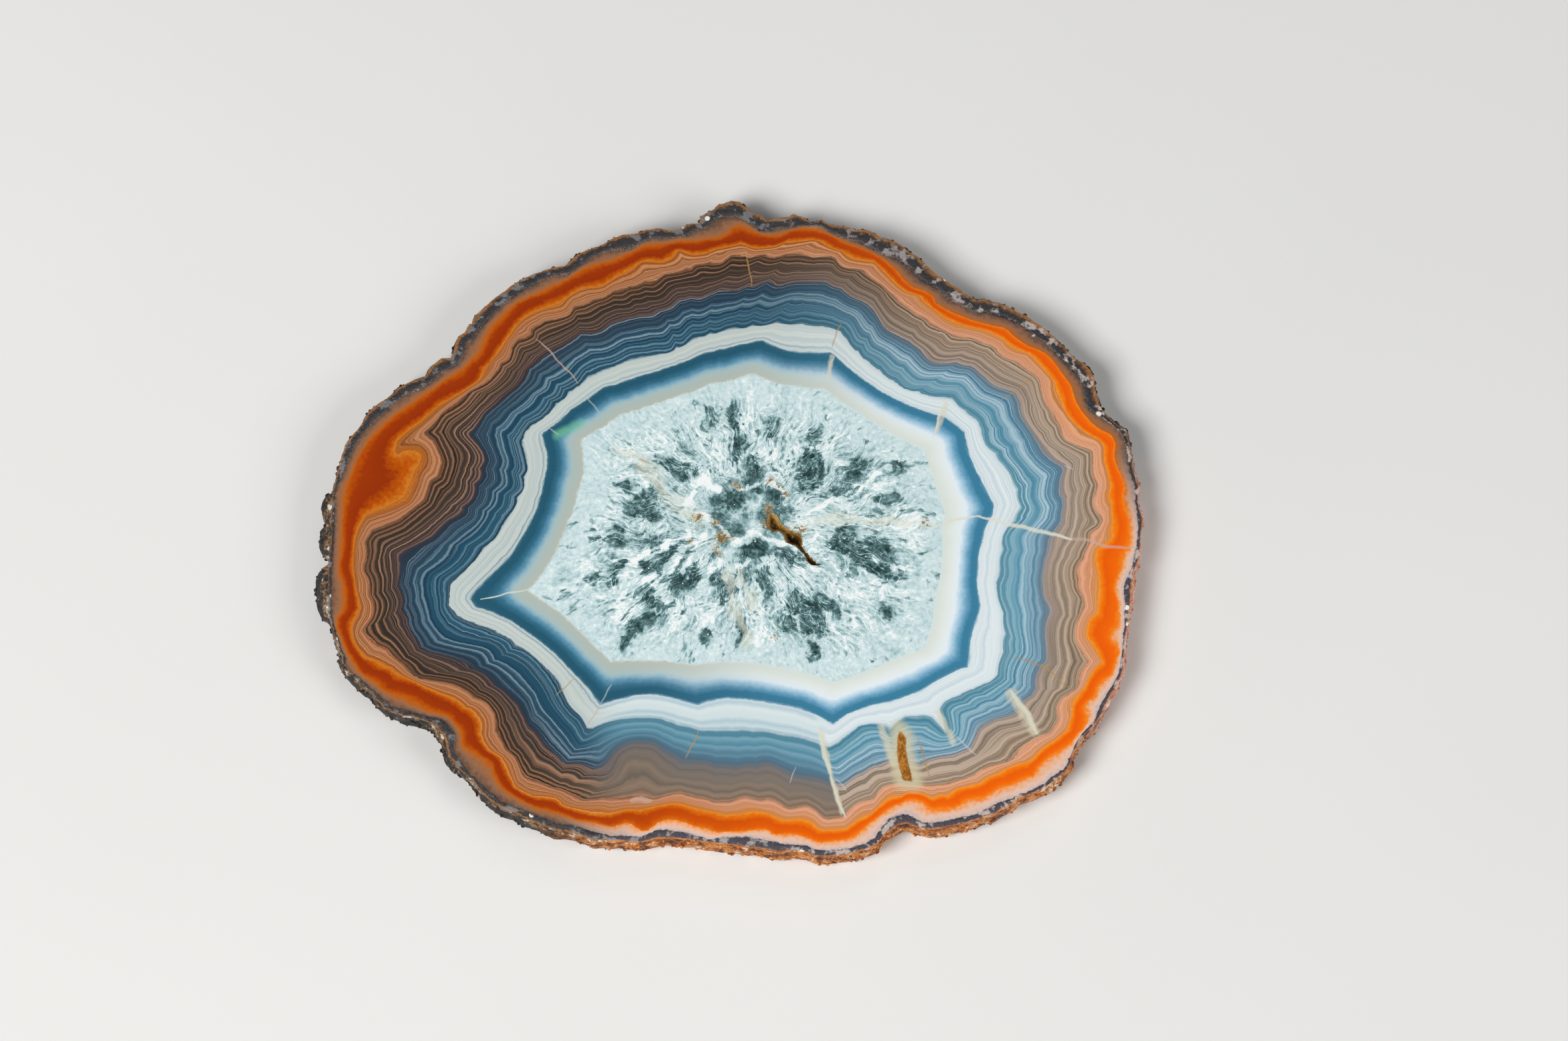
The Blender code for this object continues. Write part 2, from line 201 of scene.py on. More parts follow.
FRONT_EDGE_MM = (
    (40.65, 1.0), (40.85, 0.2), (40.8, -0.5), (40.6, -2.2), (40.6, -3.0), (40.5, -3.8), (40.2, -4.4),
    (39.9, -5.0), (39.8, -5.7), (39.85, -6.4), (39.6, -7.6), (39.45, -8.5), (39.3, -10.1), (39.0, -11.6),
    (38.8, -13.3), (38.65, -15.1), (38.35, -15.8), (37.8, -17.1), (37.3, -17.7), (37.1, -18.3),
    (36.7, -18.9), (36.55, -19.5), (36.1, -20.1), (35.2, -21.2), (34.7, -21.6), (34.3, -22.1),
    (33.55, -23.4), (33.35, -23.9), (33.35, -24.6), (33.0, -25.1), (31.8, -26.2), (31.0, -26.75),
    (30.1, -27.3), (29.3, -27.6), (28.1, -27.95), (27.75, -28.4), (27.3, -28.8), (25.9, -29.5),
    (25.0, -29.75), (24.3, -30.1), (22.5, -30.5), (21.0, -30.9), (20.4, -30.95), (19.5, -31.1),
    (18.1, -30.8), (17.3, -30.5), (16.6, -30.6), (15.8, -31.1), (15.2, -31.5), (14.8, -32.1),
    (14.4, -32.55), (13.6, -32.9), (12.5, -33.25), (11.0, -33.6), (9.5, -33.7), (8.3, -33.7), (7.6, -33.4),
    (6.9, -33.2), (5.9, -33.25), (4.8, -33.35), (4.0, -33.2), (3.3, -32.95), (1.8, -32.9), (0.9, -32.7),
    (-0.5, -32.55), (-1.8, -32.3), (-3.6, -32.1), (-5.8, -31.9), (-6.9, -31.9), (-7.8, -32.15),
    (-8.4, -32.35), (-9.2, -32.35), (-10.1, -32.2), (-12.2, -32.1), (-13.1, -32.15), (-13.7, -31.95),
    (-15.1, -31.4), (-16.8, -31.1), (-17.8, -30.75), (-19.4, -30.15), (-20.7, -29.5), (-22.2, -28.95),
    (-23.3, -28.1), (-24.55, -26.85), (-25.1, -26.1), (-25.7, -25.7), (-26.8, -24.5), (-27.2, -24.0),
    (-27.6, -22.9), (-27.75, -22.3), (-28.0, -21.7), (-28.5, -21.1), (-29.0, -20.65), (-30.5, -20.0),
    (-31.3, -19.75), (-32.0, -19.75), (-33.2, -19.25), (-33.8, -18.95), (-34.6, -18.05), (-35.0, -17.5),
    (-36.0, -16.6), (-37.0, -15.6), (-37.9, -14.4), (-38.1, -13.7), (-38.6, -12.3), (-38.9, -11.7),
    (-39.0, -11.0), (-39.45, -9.8), (-39.6, -8.0), (-39.65, -6.0), (-39.65, -4.2), (-39.45, -2.3),
    (-39.45, -1.2), (-39.5, -0.2),
)

# Where the dark rind ends and the pinkish layer begins, clockwise from the left end over the back
DARK_RIND_MM = (
    (-39.4, 1.4), (-39.3, 3.0), (-38.9, 4.0), (-38.4, 4.9), (-38.1, 5.7), (-37.7, 6.7), (-37.1, 8.0),
    (-36.6, 8.9), (-35.9, 9.7), (-35.0, 10.6), (-34.0, 11.4), (-33.7, 12.0), (-32.4, 12.9), (-31.1, 13.5),
    (-29.6, 14.5), (-28.6, 15.4), (-27.3, 16.1), (-26.6, 17.1), (-26.4, 18.3), (-25.6, 18.9), (-24.7, 20.3),
    (-23.9, 21.3), (-22.7, 22.5), (-21.0, 23.9), (-19.8, 24.5), (-17.9, 25.5), (-16.5, 25.5), (-15.1, 26.6),
    (-13.8, 27.4), (-12.6, 28.0), (-11.5, 28.1), (-10.1, 28.2), (-9.1, 28.9), (-7.9, 29.4), (-6.5, 29.4),
    (-4.4, 29.7), (-3.6, 30.3), (-2.4, 30.6), (-1.1, 31.7), (1.0, 31.6), (2.1, 30.9), (2.9, 30.3),
    (3.9, 30.2), (5.8, 30.6), (7.5, 30.7), (8.4, 30.9), (9.2, 30.7), (10.1, 30.0), (10.9, 29.6),
    (12.1, 29.2), (13.1, 28.9), (14.2, 28.3), (14.9, 27.8), (16.9, 27.1), (17.6, 26.6), (18.2, 25.9),
    (19.2, 25.0), (20.9, 24.0), (21.6, 23.1), (22.8, 22.6), (23.9, 21.9), (24.9, 21.6), (25.8, 21.7),
    (27.6, 21.1), (29.4, 20.0), (30.4, 19.0), (31.6, 18.3), (33.1, 16.7), (34.4, 15.4), (34.9, 14.7),
    (35.3, 13.9), (35.4, 12.7), (35.6, 11.7), (36.1, 11.2), (38.1, 9.9), (38.9, 9.0), (39.4, 8.0),
    (39.5, 6.7), (39.8, 4.6), (40.2, 3.3), (40.4, 0.6), (40.5, -0.9), (40.1, -3.0), (39.7, -5.1),
    (39.2, -6.0), (38.9, -6.9), (38.9, -11.1), (38.8, -12.3), (38.5, -14.0), (38.3, -15.1), (37.8, -16.7),
    (36.6, -18.1), (36.2, -18.9), (35.8, -20.2), (34.8, -21.3), (34.0, -22.5), (33.3, -23.9),
    (33.1, -24.6), (32.7, -25.1), (31.4, -25.9), (30.9, -26.5), (30.0, -26.9), (28.1, -27.9),
    (26.2, -28.4), (24.5, -29.3), (23.5, -29.7), (21.4, -30.1), (18.9, -30.4), (18.1, -29.9),
    (17.4, -29.4), (16.4, -29.6), (15.6, -30.0), (14.9, -30.9), (14.4, -31.7), (13.5, -32.3),
    (11.6, -32.9), (9.5, -33.1), (8.4, -33.0), (7.5, -32.6), (5.2, -32.4), (4.2, -32.1), (1.9, -31.7),
    (-0.5, -31.7), (-1.9, -32.1), (-3.8, -31.4), (-6.1, -31.0), (-7.2, -31.1), (-8.6, -31.8),
    (-10.4, -31.6), (-11.5, -31.7), (-13.5, -31.3), (-15.2, -30.6), (-17.2, -30.2), (-18.9, -29.6),
    (-20.6, -28.9), (-22.0, -28.3), (-23.9, -26.9), (-25.3, -25.6), (-25.9, -24.9), (-26.9, -23.1),
    (-26.7, -22.1), (-26.9, -21.3), (-28.1, -20.1), (-29.4, -19.9), (-31.9, -19.1), (-33.0, -18.9),
    (-34.4, -17.6), (-35.6, -16.6), (-37.1, -15.5), (-37.7, -14.8), (-38.3, -13.0), (-38.9, -11.0),
    (-39.2, -9.9), (-39.4, -8.0), (-39.3, -4.0), (-39.3, 0.0),
)

# The outer edge of the orange band
ORANGE_OUTER_MM = (
    (-38.3, 1.3), (-38.1, 3.3), (-37.7, 4.4), (-37.3, 5.7), (-36.7, 7.0), (-36.1, 8.0), (-35.4, 8.9),
    (-34.4, 9.9), (-33.3, 10.9), (-32.1, 11.7), (-30.7, 12.9), (-28.0, 14.9), (-26.0, 16.4), (-25.4, 17.3),
    (-25.1, 18.1), (-24.6, 19.4), (-23.9, 20.4), (-22.7, 21.6), (-21.5, 22.6), (-20.1, 23.4),
    (-17.2, 24.6), (-16.1, 25.4), (-14.9, 26.3), (-13.8, 26.6), (-12.4, 26.9), (-11.2, 27.6),
    (-9.6, 28.3), (-8.6, 28.9), (-7.5, 29.0), (-6.4, 28.9), (-5.1, 29.3), (-3.6, 29.1), (-1.1, 29.6),
    (-0.1, 29.9), (0.2, 30.5), (0.9, 30.9), (1.6, 30.7), (2.5, 30.1), (3.5, 29.8), (4.8, 29.8),
    (5.9, 30.3), (7.1, 30.6), (8.2, 30.8), (9.2, 30.4), (10.1, 29.9), (11.4, 29.2), (13.9, 28.1),
    (15.1, 27.6), (16.9, 26.0), (17.6, 25.1), (18.4, 24.4), (19.5, 24.0), (20.4, 23.3), (20.5, 22.6),
    (21.6, 22.0), (23.9, 20.9), (25.2, 20.6), (27.4, 20.1), (28.1, 19.4), (29.9, 18.1), (30.5, 17.9),
    (31.6, 17.3), (32.4, 16.4), (33.1, 15.4), (33.8, 14.4), (34.6, 12.4), (35.2, 11.3), (35.9, 10.3),
    (36.9, 9.4), (37.9, 8.9), (38.4, 8.0), (38.3, 6.7), (38.5, 5.6), (38.9, 4.6), (39.2, 3.6),
    (39.1, 2.4), (39.5, 0.6), (39.8, -2.0), (39.5, -2.9), (38.9, -3.4), (38.6, -5.1), (38.2, -6.0),
    (38.0, -6.9), (38.4, -8.6), (38.5, -10.4), (38.2, -10.9), (37.6, -11.4), (37.5, -12.0), (38.3, -12.9),
    (38.4, -13.6), (37.9, -14.9), (37.4, -15.7), (36.2, -17.0), (35.9, -17.7), (35.1, -18.4),
    (34.9, -19.1), (35.4, -19.9), (35.0, -20.6), (33.4, -22.7), (31.8, -23.9), (30.2, -25.0),
    (29.7, -25.7), (28.8, -26.1), (26.5, -27.0), (24.9, -28.0), (23.2, -28.2), (21.8, -29.1),
    (20.9, -29.3), (19.5, -29.4), (18.9, -28.6), (18.1, -28.3), (17.2, -28.2), (16.4, -28.6),
    (14.6, -29.7), (13.1, -31.1), (12.4, -31.6), (11.4, -32.0), (8.9, -32.4), (7.2, -31.7), (6.1, -31.5),
    (4.5, -31.6), (3.6, -31.0), (2.4, -31.1), (0.9, -31.3), (-1.2, -31.4), (-2.2, -31.0), (-5.1, -30.2),
    (-6.1, -30.1), (-6.9, -30.4), (-7.6, -31.1), (-8.4, -31.3), (-9.5, -30.4), (-10.1, -30.3),
    (-11.4, -30.8), (-13.5, -30.5), (-15.5, -29.9), (-16.8, -29.4), (-18.8, -28.9), (-20.6, -28.1),
    (-21.6, -27.6), (-22.3, -26.9), (-23.0, -25.4), (-23.1, -24.7), (-23.7, -24.1), (-25.3, -23.4),
    (-26.0, -22.9), (-26.2, -21.4), (-27.3, -20.0), (-29.3, -19.4), (-31.6, -18.4), (-33.7, -17.3),
    (-36.1, -15.6), (-37.1, -14.3), (-38.0, -12.6), (-38.7, -10.9), (-38.6, -9.9), (-38.0, -9.0),
    (-38.1, -8.0), (-38.6, -5.1), (-38.4, -2.3), (-38.3, 0.6),
)

# The inner edge of the orange band, with the lobe that swells at the left end
ORANGE_INNER_MM = (
    (-31.9, 2.0), (-31.1, 3.9), (-30.9, 4.9), (-30.4, 5.7), (-30.2, 6.4), (-30.4, 7.1), (-31.0, 7.6),
    (-32.4, 7.6), (-33.1, 7.1), (-33.0, 8.1), (-32.1, 9.0), (-30.7, 10.1), (-28.7, 12.0), (-27.6, 12.9),
    (-26.4, 13.7), (-25.3, 14.6), (-24.0, 16.3), (-23.4, 18.0), (-22.7, 18.9), (-21.2, 20.6),
    (-20.1, 21.7), (-18.6, 22.3), (-17.2, 22.7), (-15.1, 23.9), (-12.2, 25.0), (-10.8, 25.7),
    (-9.6, 26.3), (-8.9, 27.0), (-7.9, 27.3), (-6.9, 27.3), (-5.1, 28.2), (-3.6, 28.1), (-0.8, 28.4),
    (0.4, 28.9), (1.1, 29.3), (1.6, 29.0), (2.9, 28.7), (4.4, 28.7), (5.6, 29.0), (6.9, 29.3),
    (8.2, 29.4), (9.2, 29.0), (10.2, 28.4), (13.1, 27.3), (14.4, 26.9), (16.1, 25.4), (16.9, 24.6),
    (17.8, 23.9), (18.8, 23.4), (19.8, 22.7), (21.6, 21.0), (22.8, 20.4), (24.2, 20.0), (25.4, 19.9),
    (26.2, 19.6), (27.9, 18.3), (30.4, 17.0), (31.1, 16.3), (31.8, 15.3), (32.5, 14.0), (32.9, 12.9),
    (33.1, 11.7), (33.8, 10.6), (34.6, 9.7), (35.6, 8.9), (36.8, 8.3), (37.2, 7.6), (37.1, 6.1),
    (37.9, 3.6), (37.6, 2.4), (38.0, -0.1), (37.5, -2.1), (36.9, -2.6), (36.4, -3.0), (36.2, -4.0),
    (36.6, -7.1), (36.6, -8.0), (36.4, -9.6), (35.6, -10.1), (35.2, -11.7), (36.0, -13.1), (36.5, -14.4),
    (35.9, -15.0), (34.9, -17.0), (33.6, -18.4), (33.4, -20.1), (33.1, -21.0), (31.8, -22.4),
    (30.4, -23.6), (29.8, -24.1), (28.8, -24.4), (25.9, -25.6), (24.5, -26.7), (22.2, -27.1),
    (21.2, -27.6), (20.5, -27.6), (19.9, -28.1), (18.6, -27.5), (17.6, -27.4), (15.6, -28.3),
    (13.1, -30.0), (11.5, -31.0), (10.5, -31.1), (8.8, -31.0), (8.1, -30.4), (7.2, -30.1), (5.2, -30.0),
    (3.8, -29.4), (2.8, -29.3), (0.5, -29.5), (-0.4, -29.7), (-2.6, -29.0), (-4.6, -28.6), (-5.8, -28.6),
    (-7.9, -29.0), (-9.9, -29.1), (-11.6, -29.6), (-13.6, -29.4), (-15.5, -29.0), (-16.9, -28.1),
    (-19.1, -27.7), (-20.1, -27.3), (-20.9, -26.7), (-21.9, -24.7), (-22.3, -23.9), (-23.7, -22.9),
    (-24.0, -22.3), (-24.3, -20.6), (-25.3, -19.1), (-27.0, -18.1), (-29.8, -17.1), (-31.9, -15.9),
    (-33.1, -14.9), (-35.9, -13.9), (-36.7, -12.7), (-37.2, -11.1), (-37.2, -10.4), (-36.5, -8.9),
    (-36.9, -6.6), (-37.1, -4.7), (-37.2, -1.7), (-37.0, -0.9), (-36.1, 0.4), (-33.9, 1.1), (-32.7, 1.6),
)

# Where the peach layer ends and the brown bands begin
BROWN_OUTER_MM = (
    (-30.1, 2.0), (-29.6, 3.9), (-28.7, 4.4), (-28.3, 6.1), (-28.6, 6.9), (-29.4, 8.4), (-30.3, 9.1),
    (-29.4, 9.9), (-28.7, 11.0), (-26.9, 12.4), (-25.9, 13.4), (-24.6, 14.3), (-23.0, 15.9),
    (-22.4, 16.7), (-22.0, 18.1), (-20.6, 19.0), (-19.9, 19.3), (-19.6, 20.1), (-18.8, 20.9),
    (-17.6, 21.1), (-16.2, 21.6), (-15.2, 22.4), (-12.9, 23.1), (-11.8, 23.7), (-10.5, 24.0),
    (-10.1, 24.4), (-8.1, 24.7), (-7.4, 25.4), (-6.8, 25.9), (-4.8, 25.9), (-3.9, 26.1), (-3.5, 26.6),
    (-2.2, 26.7), (-0.9, 27.0), (1.1, 28.0), (1.5, 28.2), (2.1, 27.7), (4.8, 27.5), (7.5, 27.9),
    (8.9, 27.9), (10.1, 27.6), (10.9, 26.9), (13.1, 26.0), (14.4, 25.3), (15.1, 24.7), (15.9, 23.6),
    (16.9, 22.7), (18.1, 22.0), (19.9, 20.4), (20.9, 19.8), (21.4, 19.7), (22.1, 19.1), (24.5, 18.7),
    (26.1, 18.2), (26.6, 17.4), (27.6, 16.7), (28.9, 16.1), (30.5, 14.9), (31.0, 14.0), (31.4, 12.9),
    (31.6, 11.9), (32.6, 10.0), (33.6, 8.6), (34.8, 7.7), (35.9, 7.1), (36.1, 5.0), (36.5, 2.6),
    (36.6, 0.9), (36.8, 0.0), (36.5, -0.7), (35.6, -1.3), (35.4, -2.6), (34.6, -4.1), (34.1, -6.0),
    (34.4, -6.9), (34.8, -7.7), (34.8, -8.6), (34.2, -10.4), (34.1, -12.1), (34.8, -13.6), (35.4, -14.4),
    (34.9, -14.9), (34.4, -15.9), (34.1, -17.0), (32.8, -18.1), (32.4, -19.0), (32.4, -20.0),
    (31.5, -21.6), (30.8, -22.0), (29.5, -23.1), (27.8, -23.9), (27.1, -24.4), (25.5, -24.7),
    (24.1, -25.8), (22.4, -26.1), (21.6, -26.5), (19.4, -26.6), (16.6, -26.4), (15.1, -27.1),
    (12.6, -28.9), (11.4, -29.9), (9.2, -29.9), (8.4, -29.3), (7.5, -28.9), (5.5, -28.9), (3.8, -28.1),
    (1.6, -28.0), (-1.1, -28.3), (-2.8, -27.9), (-4.6, -27.4), (-7.2, -28.0), (-9.6, -27.8),
    (-11.5, -28.3), (-14.4, -28.0), (-16.1, -27.1), (-18.2, -26.7), (-19.9, -25.6), (-20.8, -24.0),
    (-21.5, -23.3), (-22.4, -22.3), (-22.7, -20.6), (-23.1, -19.6), (-24.0, -18.6), (-25.1, -17.6),
    (-27.2, -16.7), (-30.3, -16.1), (-31.0, -15.7), (-32.1, -14.4), (-33.9, -13.4), (-35.0, -13.1),
    (-35.7, -12.0), (-35.9, -11.3), (-35.3, -10.0), (-35.1, -8.3), (-36.2, -5.1), (-35.9, -4.1),
    (-36.0, -2.3), (-35.4, -1.1), (-33.9, -0.6), (-32.7, -0.1), (-31.1, 1.3),
)

# Where the brown bands end and the slate-blue bands begin
BLUE_OUTER_MM = (
    (-26.4, 1.0), (-25.4, 3.0), (-24.6, 5.0), (-24.5, 6.1), (-24.8, 7.0), (-25.3, 7.9), (-26.2, 9.0),
    (-24.4, 11.0), (-21.3, 13.8), (-20.1, 15.7), (-18.8, 16.9), (-17.6, 17.9), (-15.9, 18.9),
    (-13.8, 19.9), (-12.1, 20.4), (-9.6, 21.0), (-7.8, 21.3), (-5.8, 22.3), (-4.9, 22.9), (-2.8, 23.3),
    (-0.8, 23.9), (2.4, 24.4), (3.2, 24.8), (5.9, 25.0), (8.1, 25.1), (9.2, 24.9), (10.6, 24.3),
    (13.2, 23.0), (13.9, 22.3), (14.8, 21.1), (15.9, 20.1), (18.1, 18.3), (20.5, 16.9), (21.9, 16.4),
    (24.1, 16.0), (24.9, 15.1), (26.1, 14.4), (28.4, 13.3), (28.9, 12.3), (29.2, 11.0), (30.4, 8.4),
    (31.2, 7.3), (33.1, 5.7), (33.1, 4.7), (32.9, 2.6), (33.2, 1.3), (32.8, -0.1), (32.5, -0.9),
    (31.8, -2.1), (31.1, -4.0), (30.9, -6.0), (31.0, -7.9), (31.7, -9.3), (31.4, -10.9), (31.3, -11.9),
    (31.5, -14.4), (30.9, -15.0), (30.5, -15.9), (30.0, -17.0), (29.9, -17.9), (28.2, -19.5),
    (26.2, -20.1), (24.6, -21.3), (23.5, -23.0), (21.8, -23.6), (19.5, -24.1), (18.6, -24.6),
    (16.2, -24.3), (14.2, -24.7), (12.4, -25.7), (11.1, -26.9), (10.1, -26.7), (8.4, -26.1),
    (6.5, -25.7), (3.4, -25.0), (-0.6, -25.0), (-2.9, -24.8), (-4.8, -24.9), (-5.5, -24.1), (-7.1, -23.5),
    (-8.9, -23.5), (-10.5, -24.0), (-11.6, -25.1), (-12.6, -25.3), (-14.6, -25.0), (-16.6, -24.3),
    (-17.4, -23.7), (-18.5, -22.0), (-19.9, -20.4), (-20.6, -18.7), (-22.0, -17.4), (-23.9, -15.9),
    (-25.1, -15.0), (-27.1, -14.4), (-29.4, -13.6), (-31.6, -11.7), (-32.3, -10.6), (-32.1, -9.9),
    (-32.1, -8.3), (-33.0, -4.9), (-32.7, -3.6), (-31.4, -2.9), (-29.4, -1.7), (-27.9, 0.1),
)

# The outer edge of the white band
WHITE_OUTER_MM = (
    (-21.4, 1.2), (-20.6, 3.0), (-20.1, 5.4), (-20.1, 6.6), (-20.6, 8.3), (-20.4, 9.1), (-18.6, 10.6),
    (-16.8, 12.4), (-15.2, 13.9), (-14.2, 14.7), (-12.9, 15.4), (-10.6, 16.4), (-7.9, 17.0),
    (-5.8, 17.6), (-4.1, 18.5), (-3.1, 19.0), (-0.5, 19.7), (2.1, 20.1), (3.5, 20.4), (5.6, 20.5),
    (8.6, 20.1), (10.2, 19.9), (10.9, 19.6), (12.0, 18.2), (13.8, 16.3), (16.1, 14.4), (17.2, 13.8),
    (18.4, 13.3), (20.5, 12.7), (22.1, 12.5), (23.1, 11.4), (24.6, 10.1), (24.9, 9.0), (25.6, 7.7),
    (26.6, 6.3), (27.9, 4.7), (28.3, 2.9), (28.6, 1.4), (28.1, 0.3), (27.4, -0.7), (26.9, -2.3),
    (26.6, -4.3), (26.3, -6.3), (26.6, -8.1), (27.1, -9.4), (27.0, -11.3), (26.8, -13.3), (26.4, -15.0),
    (26.1, -15.9), (25.6, -16.4), (23.8, -17.0), (21.9, -17.9), (21.1, -18.4), (20.6, -19.1),
    (21.1, -21.2), (19.9, -19.8), (19.1, -19.6), (17.2, -19.8), (15.8, -21.1), (15.4, -20.7),
    (14.8, -20.5), (12.8, -20.8), (11.2, -21.8), (9.8, -22.8), (8.8, -22.3), (6.9, -21.9), (4.4, -21.4),
    (2.1, -21.1), (-0.5, -21.0), (-2.9, -21.1), (-4.5, -20.7), (-6.5, -20.1), (-7.9, -20.0),
    (-10.4, -20.1), (-12.9, -20.8), (-13.9, -21.1), (-14.6, -19.9), (-15.8, -18.4), (-16.5, -16.6),
    (-16.8, -15.9), (-18.1, -14.9), (-19.8, -13.4), (-21.4, -12.1), (-23.0, -11.1), (-25.1, -10.3),
    (-26.1, -10.0), (-27.4, -8.9), (-27.7, -8.6), (-27.6, -7.3), (-27.5, -6.5), (-26.4, -5.4),
    (-24.9, -3.7), (-23.3, -1.9), (-21.9, 0.1),
)

# The inner edge of the white band
WHITE_INNER_MM = (
    (-19.1, 1.4), (-18.6, 3.4), (-18.2, 5.7), (-18.2, 6.9), (-18.8, 9.0), (-17.1, 10.3), (-15.8, 11.6),
    (-14.1, 12.7), (-12.6, 13.9), (-11.5, 14.1), (-9.4, 14.9), (-7.1, 15.6), (-4.8, 16.4), (-2.8, 17.3),
    (-0.5, 17.9), (0.9, 18.3), (3.2, 18.7), (3.8, 18.3), (5.8, 17.6), (6.9, 17.4), (9.2, 17.4),
    (10.1, 17.5), (10.8, 16.9), (11.4, 16.2), (13.2, 14.7), (15.2, 13.3), (17.5, 12.1), (19.8, 11.2),
    (21.4, 10.7), (22.5, 9.9), (23.4, 9.1), (23.9, 6.6), (24.6, 4.9), (26.2, 1.7), (26.1, 0.6),
    (25.6, -0.1), (25.0, -1.7), (24.6, -3.7), (24.4, -6.0), (24.7, -8.9), (24.2, -10.3), (23.7, -12.3),
    (23.4, -14.9), (22.6, -15.1), (20.3, -16.3), (18.4, -17.4), (16.6, -18.1), (13.6, -18.8),
    (11.6, -19.6), (10.2, -20.6), (8.8, -19.8), (6.9, -18.9), (4.9, -18.5), (2.4, -18.1), (-0.1, -17.9),
    (-2.2, -18.2), (-3.1, -18.6), (-4.8, -18.1), (-6.9, -17.6), (-9.4, -17.7), (-11.2, -18.2),
    (-12.6, -18.6), (-13.5, -17.4), (-15.2, -15.6), (-17.2, -13.5), (-18.9, -12.1), (-21.5, -10.2),
    (-23.4, -9.3), (-25.1, -8.8), (-25.6, -7.9), (-25.0, -7.1), (-23.4, -5.4), (-21.7, -3.7),
    (-20.9, -2.1), (-19.8, -0.3),
)

# The outline of the quartz heart
QUARTZ_MM = (
    (-15.4, 1.4), (-14.9, 3.6), (-14.6, 4.7), (-14.6, 6.9), (-14.8, 8.4), (-12.8, 9.6), (-10.9, 10.9),
    (-8.9, 11.6), (-6.6, 12.4), (-3.9, 13.3), (-2.1, 14.1), (0.1, 14.5), (1.8, 15.1), (2.6, 15.1),
    (3.5, 14.6), (5.2, 14.1), (7.8, 13.7), (9.5, 13.6), (10.8, 12.5), (12.8, 11.2), (14.6, 9.9),
    (16.2, 8.9), (17.9, 8.0), (19.4, 7.3), (19.9, 5.4), (20.5, 3.3), (21.2, 1.3), (21.4, 0.5),
    (20.9, -1.0), (21.1, -2.3), (20.9, -5.1), (20.3, -8.0), (20.0, -10.3), (19.4, -12.3), (19.1, -13.0),
    (16.8, -13.8), (14.6, -14.9), (12.4, -15.7), (10.3, -16.4), (8.1, -15.6), (5.2, -14.9), (2.4, -14.4),
    (-0.5, -14.3), (-3.5, -14.6), (-6.1, -14.3), (-9.4, -14.3), (-11.6, -14.3), (-13.1, -12.9),
    (-14.9, -11.0), (-16.6, -9.4), (-18.4, -8.2), (-19.9, -7.1), (-18.9, -6.0), (-17.6, -4.1),
    (-16.8, -2.3), (-16.1, -0.3),
)

# Crust lumps on the left end: middle, half-length along the rim and how far each stands out
CRUST_LUMPS_MM = (
    ((-39.5, 1.5), 1.6, 0.95),
    ((-39.5, -1.7), 1.9, 1.15),
    ((-39.6, -7.0), 2.7, 1.2),
    ((-37.0, -15.4), 2.2, 0.35),
    ((-27.6, -23.0), 2.4, 0.3),
)

# The mouth of the iron-stained vug, clockwise from its wide upper end
VUG_MOUTH_MM = (
    (3.5, 0.0), (3.7, 0.9), (4.2, 1.1), (4.7, 0.7), (5.1, 0.0), (5.7, -0.6), (6.5, -0.95), (7.1, -1.2),
    (7.3, -1.9), (7.25, -2.4), (7.6, -3.0), (8.1, -3.6), (8.7, -4.15), (9.35, -4.4), (8.7, -4.6),
    (8.05, -4.55), (7.55, -4.1), (7.3, -3.45), (6.5, -2.6), (5.5, -2.2), (5.3, -1.5), (4.9, -1.1),
    (4.2, -1.15), (3.7, -0.7),
)

# Mineral seams across the bands: half-width and the points each runs through
GOLD_SEAMS_MM = (
    (0.08, ((1.5, 28.2), (1.7, 26.4), (1.9, 24.6))),
    (0.08, ((11.1, 20.5), (10.6, 19.3), (10.1, 18.0))),
    (0.07, ((30.5, 15.2), (28.8, 13.8), (27.0, 12.4))),
    (0.07, ((-17.0, -17.7), (-15.2, -16.1))),
    (0.09, ((-3.2, -21.2), (-3.6, -22.8), (-4.1, -24.1))),
    (0.09, ((27.8, -13.9), (31.0, -14.8), (33.5, -17.0))),
    (0.12, ((18.4, -22.2), (19.0, -23.8), (19.6, -25.8))),
)
PALE_SEAMS_MM = (
    (0.26, ((27.6, -17.4), (29.3, -19.5), (30.2, -21.6))),
    (0.13, ((21.8, 12.5), (20.8, 10.5), (20.2, 8.5))),
    (0.08, ((-24.5, -8.0), (-20.0, -7.0))),
    (0.24, ((8.9, -21.0), (9.3, -23.5), (9.9, -25.5))),
    (0.17, ((9.9, -25.5), (10.3, -27.0), (11.3, -29.8))),
    (0.14, ((20.0, -0.6), (22.0, 0.0), (24.8, 0.6))),
    (0.22, ((24.5, 0.6), (27.5, -0.3), (30.0, -0.9), (32.0, -1.3), (34.0, -1.8))),
)
FAINT_SEAMS_MM = (
    (0.1, ((10.5, 17.1), (10.0, 16.0), (9.6, 14.5))),
    (0.09, ((-18.0, 9.5), (-17.0, 8.8))),
    (0.09, ((-14.3, 12.7), (-13.2, 11.2))),
    (0.09, ((-12.7, -18.6), (-11.5, -16.5))),
    (0.1, ((10.5, -26.0), (11.4, -27.2))),
    (0.1, ((22.3, -22.0), (24.1, -23.6))),
    (0.08, ((33.2, 5.6), (34.0, 5.3))),
    (0.07, ((6.6, -24.9), (5.9, -26.5))),
)
PINK_SEAMS_MM = (
    (0.09, ((-19.6, 18.9), (-18.2, 17.6), (-15.2, 14.2))),
    (0.08, ((-13.9, -21.0), (-12.7, -18.6))),
    (0.17, ((31.0, -1.1), (35.0, -2.0), (37.0, -2.5), (40.4, -2.8))),
    (0.3, ((-9.6, -28.3), (-8.5, -28.1), (-7.5, -28.2))),
)
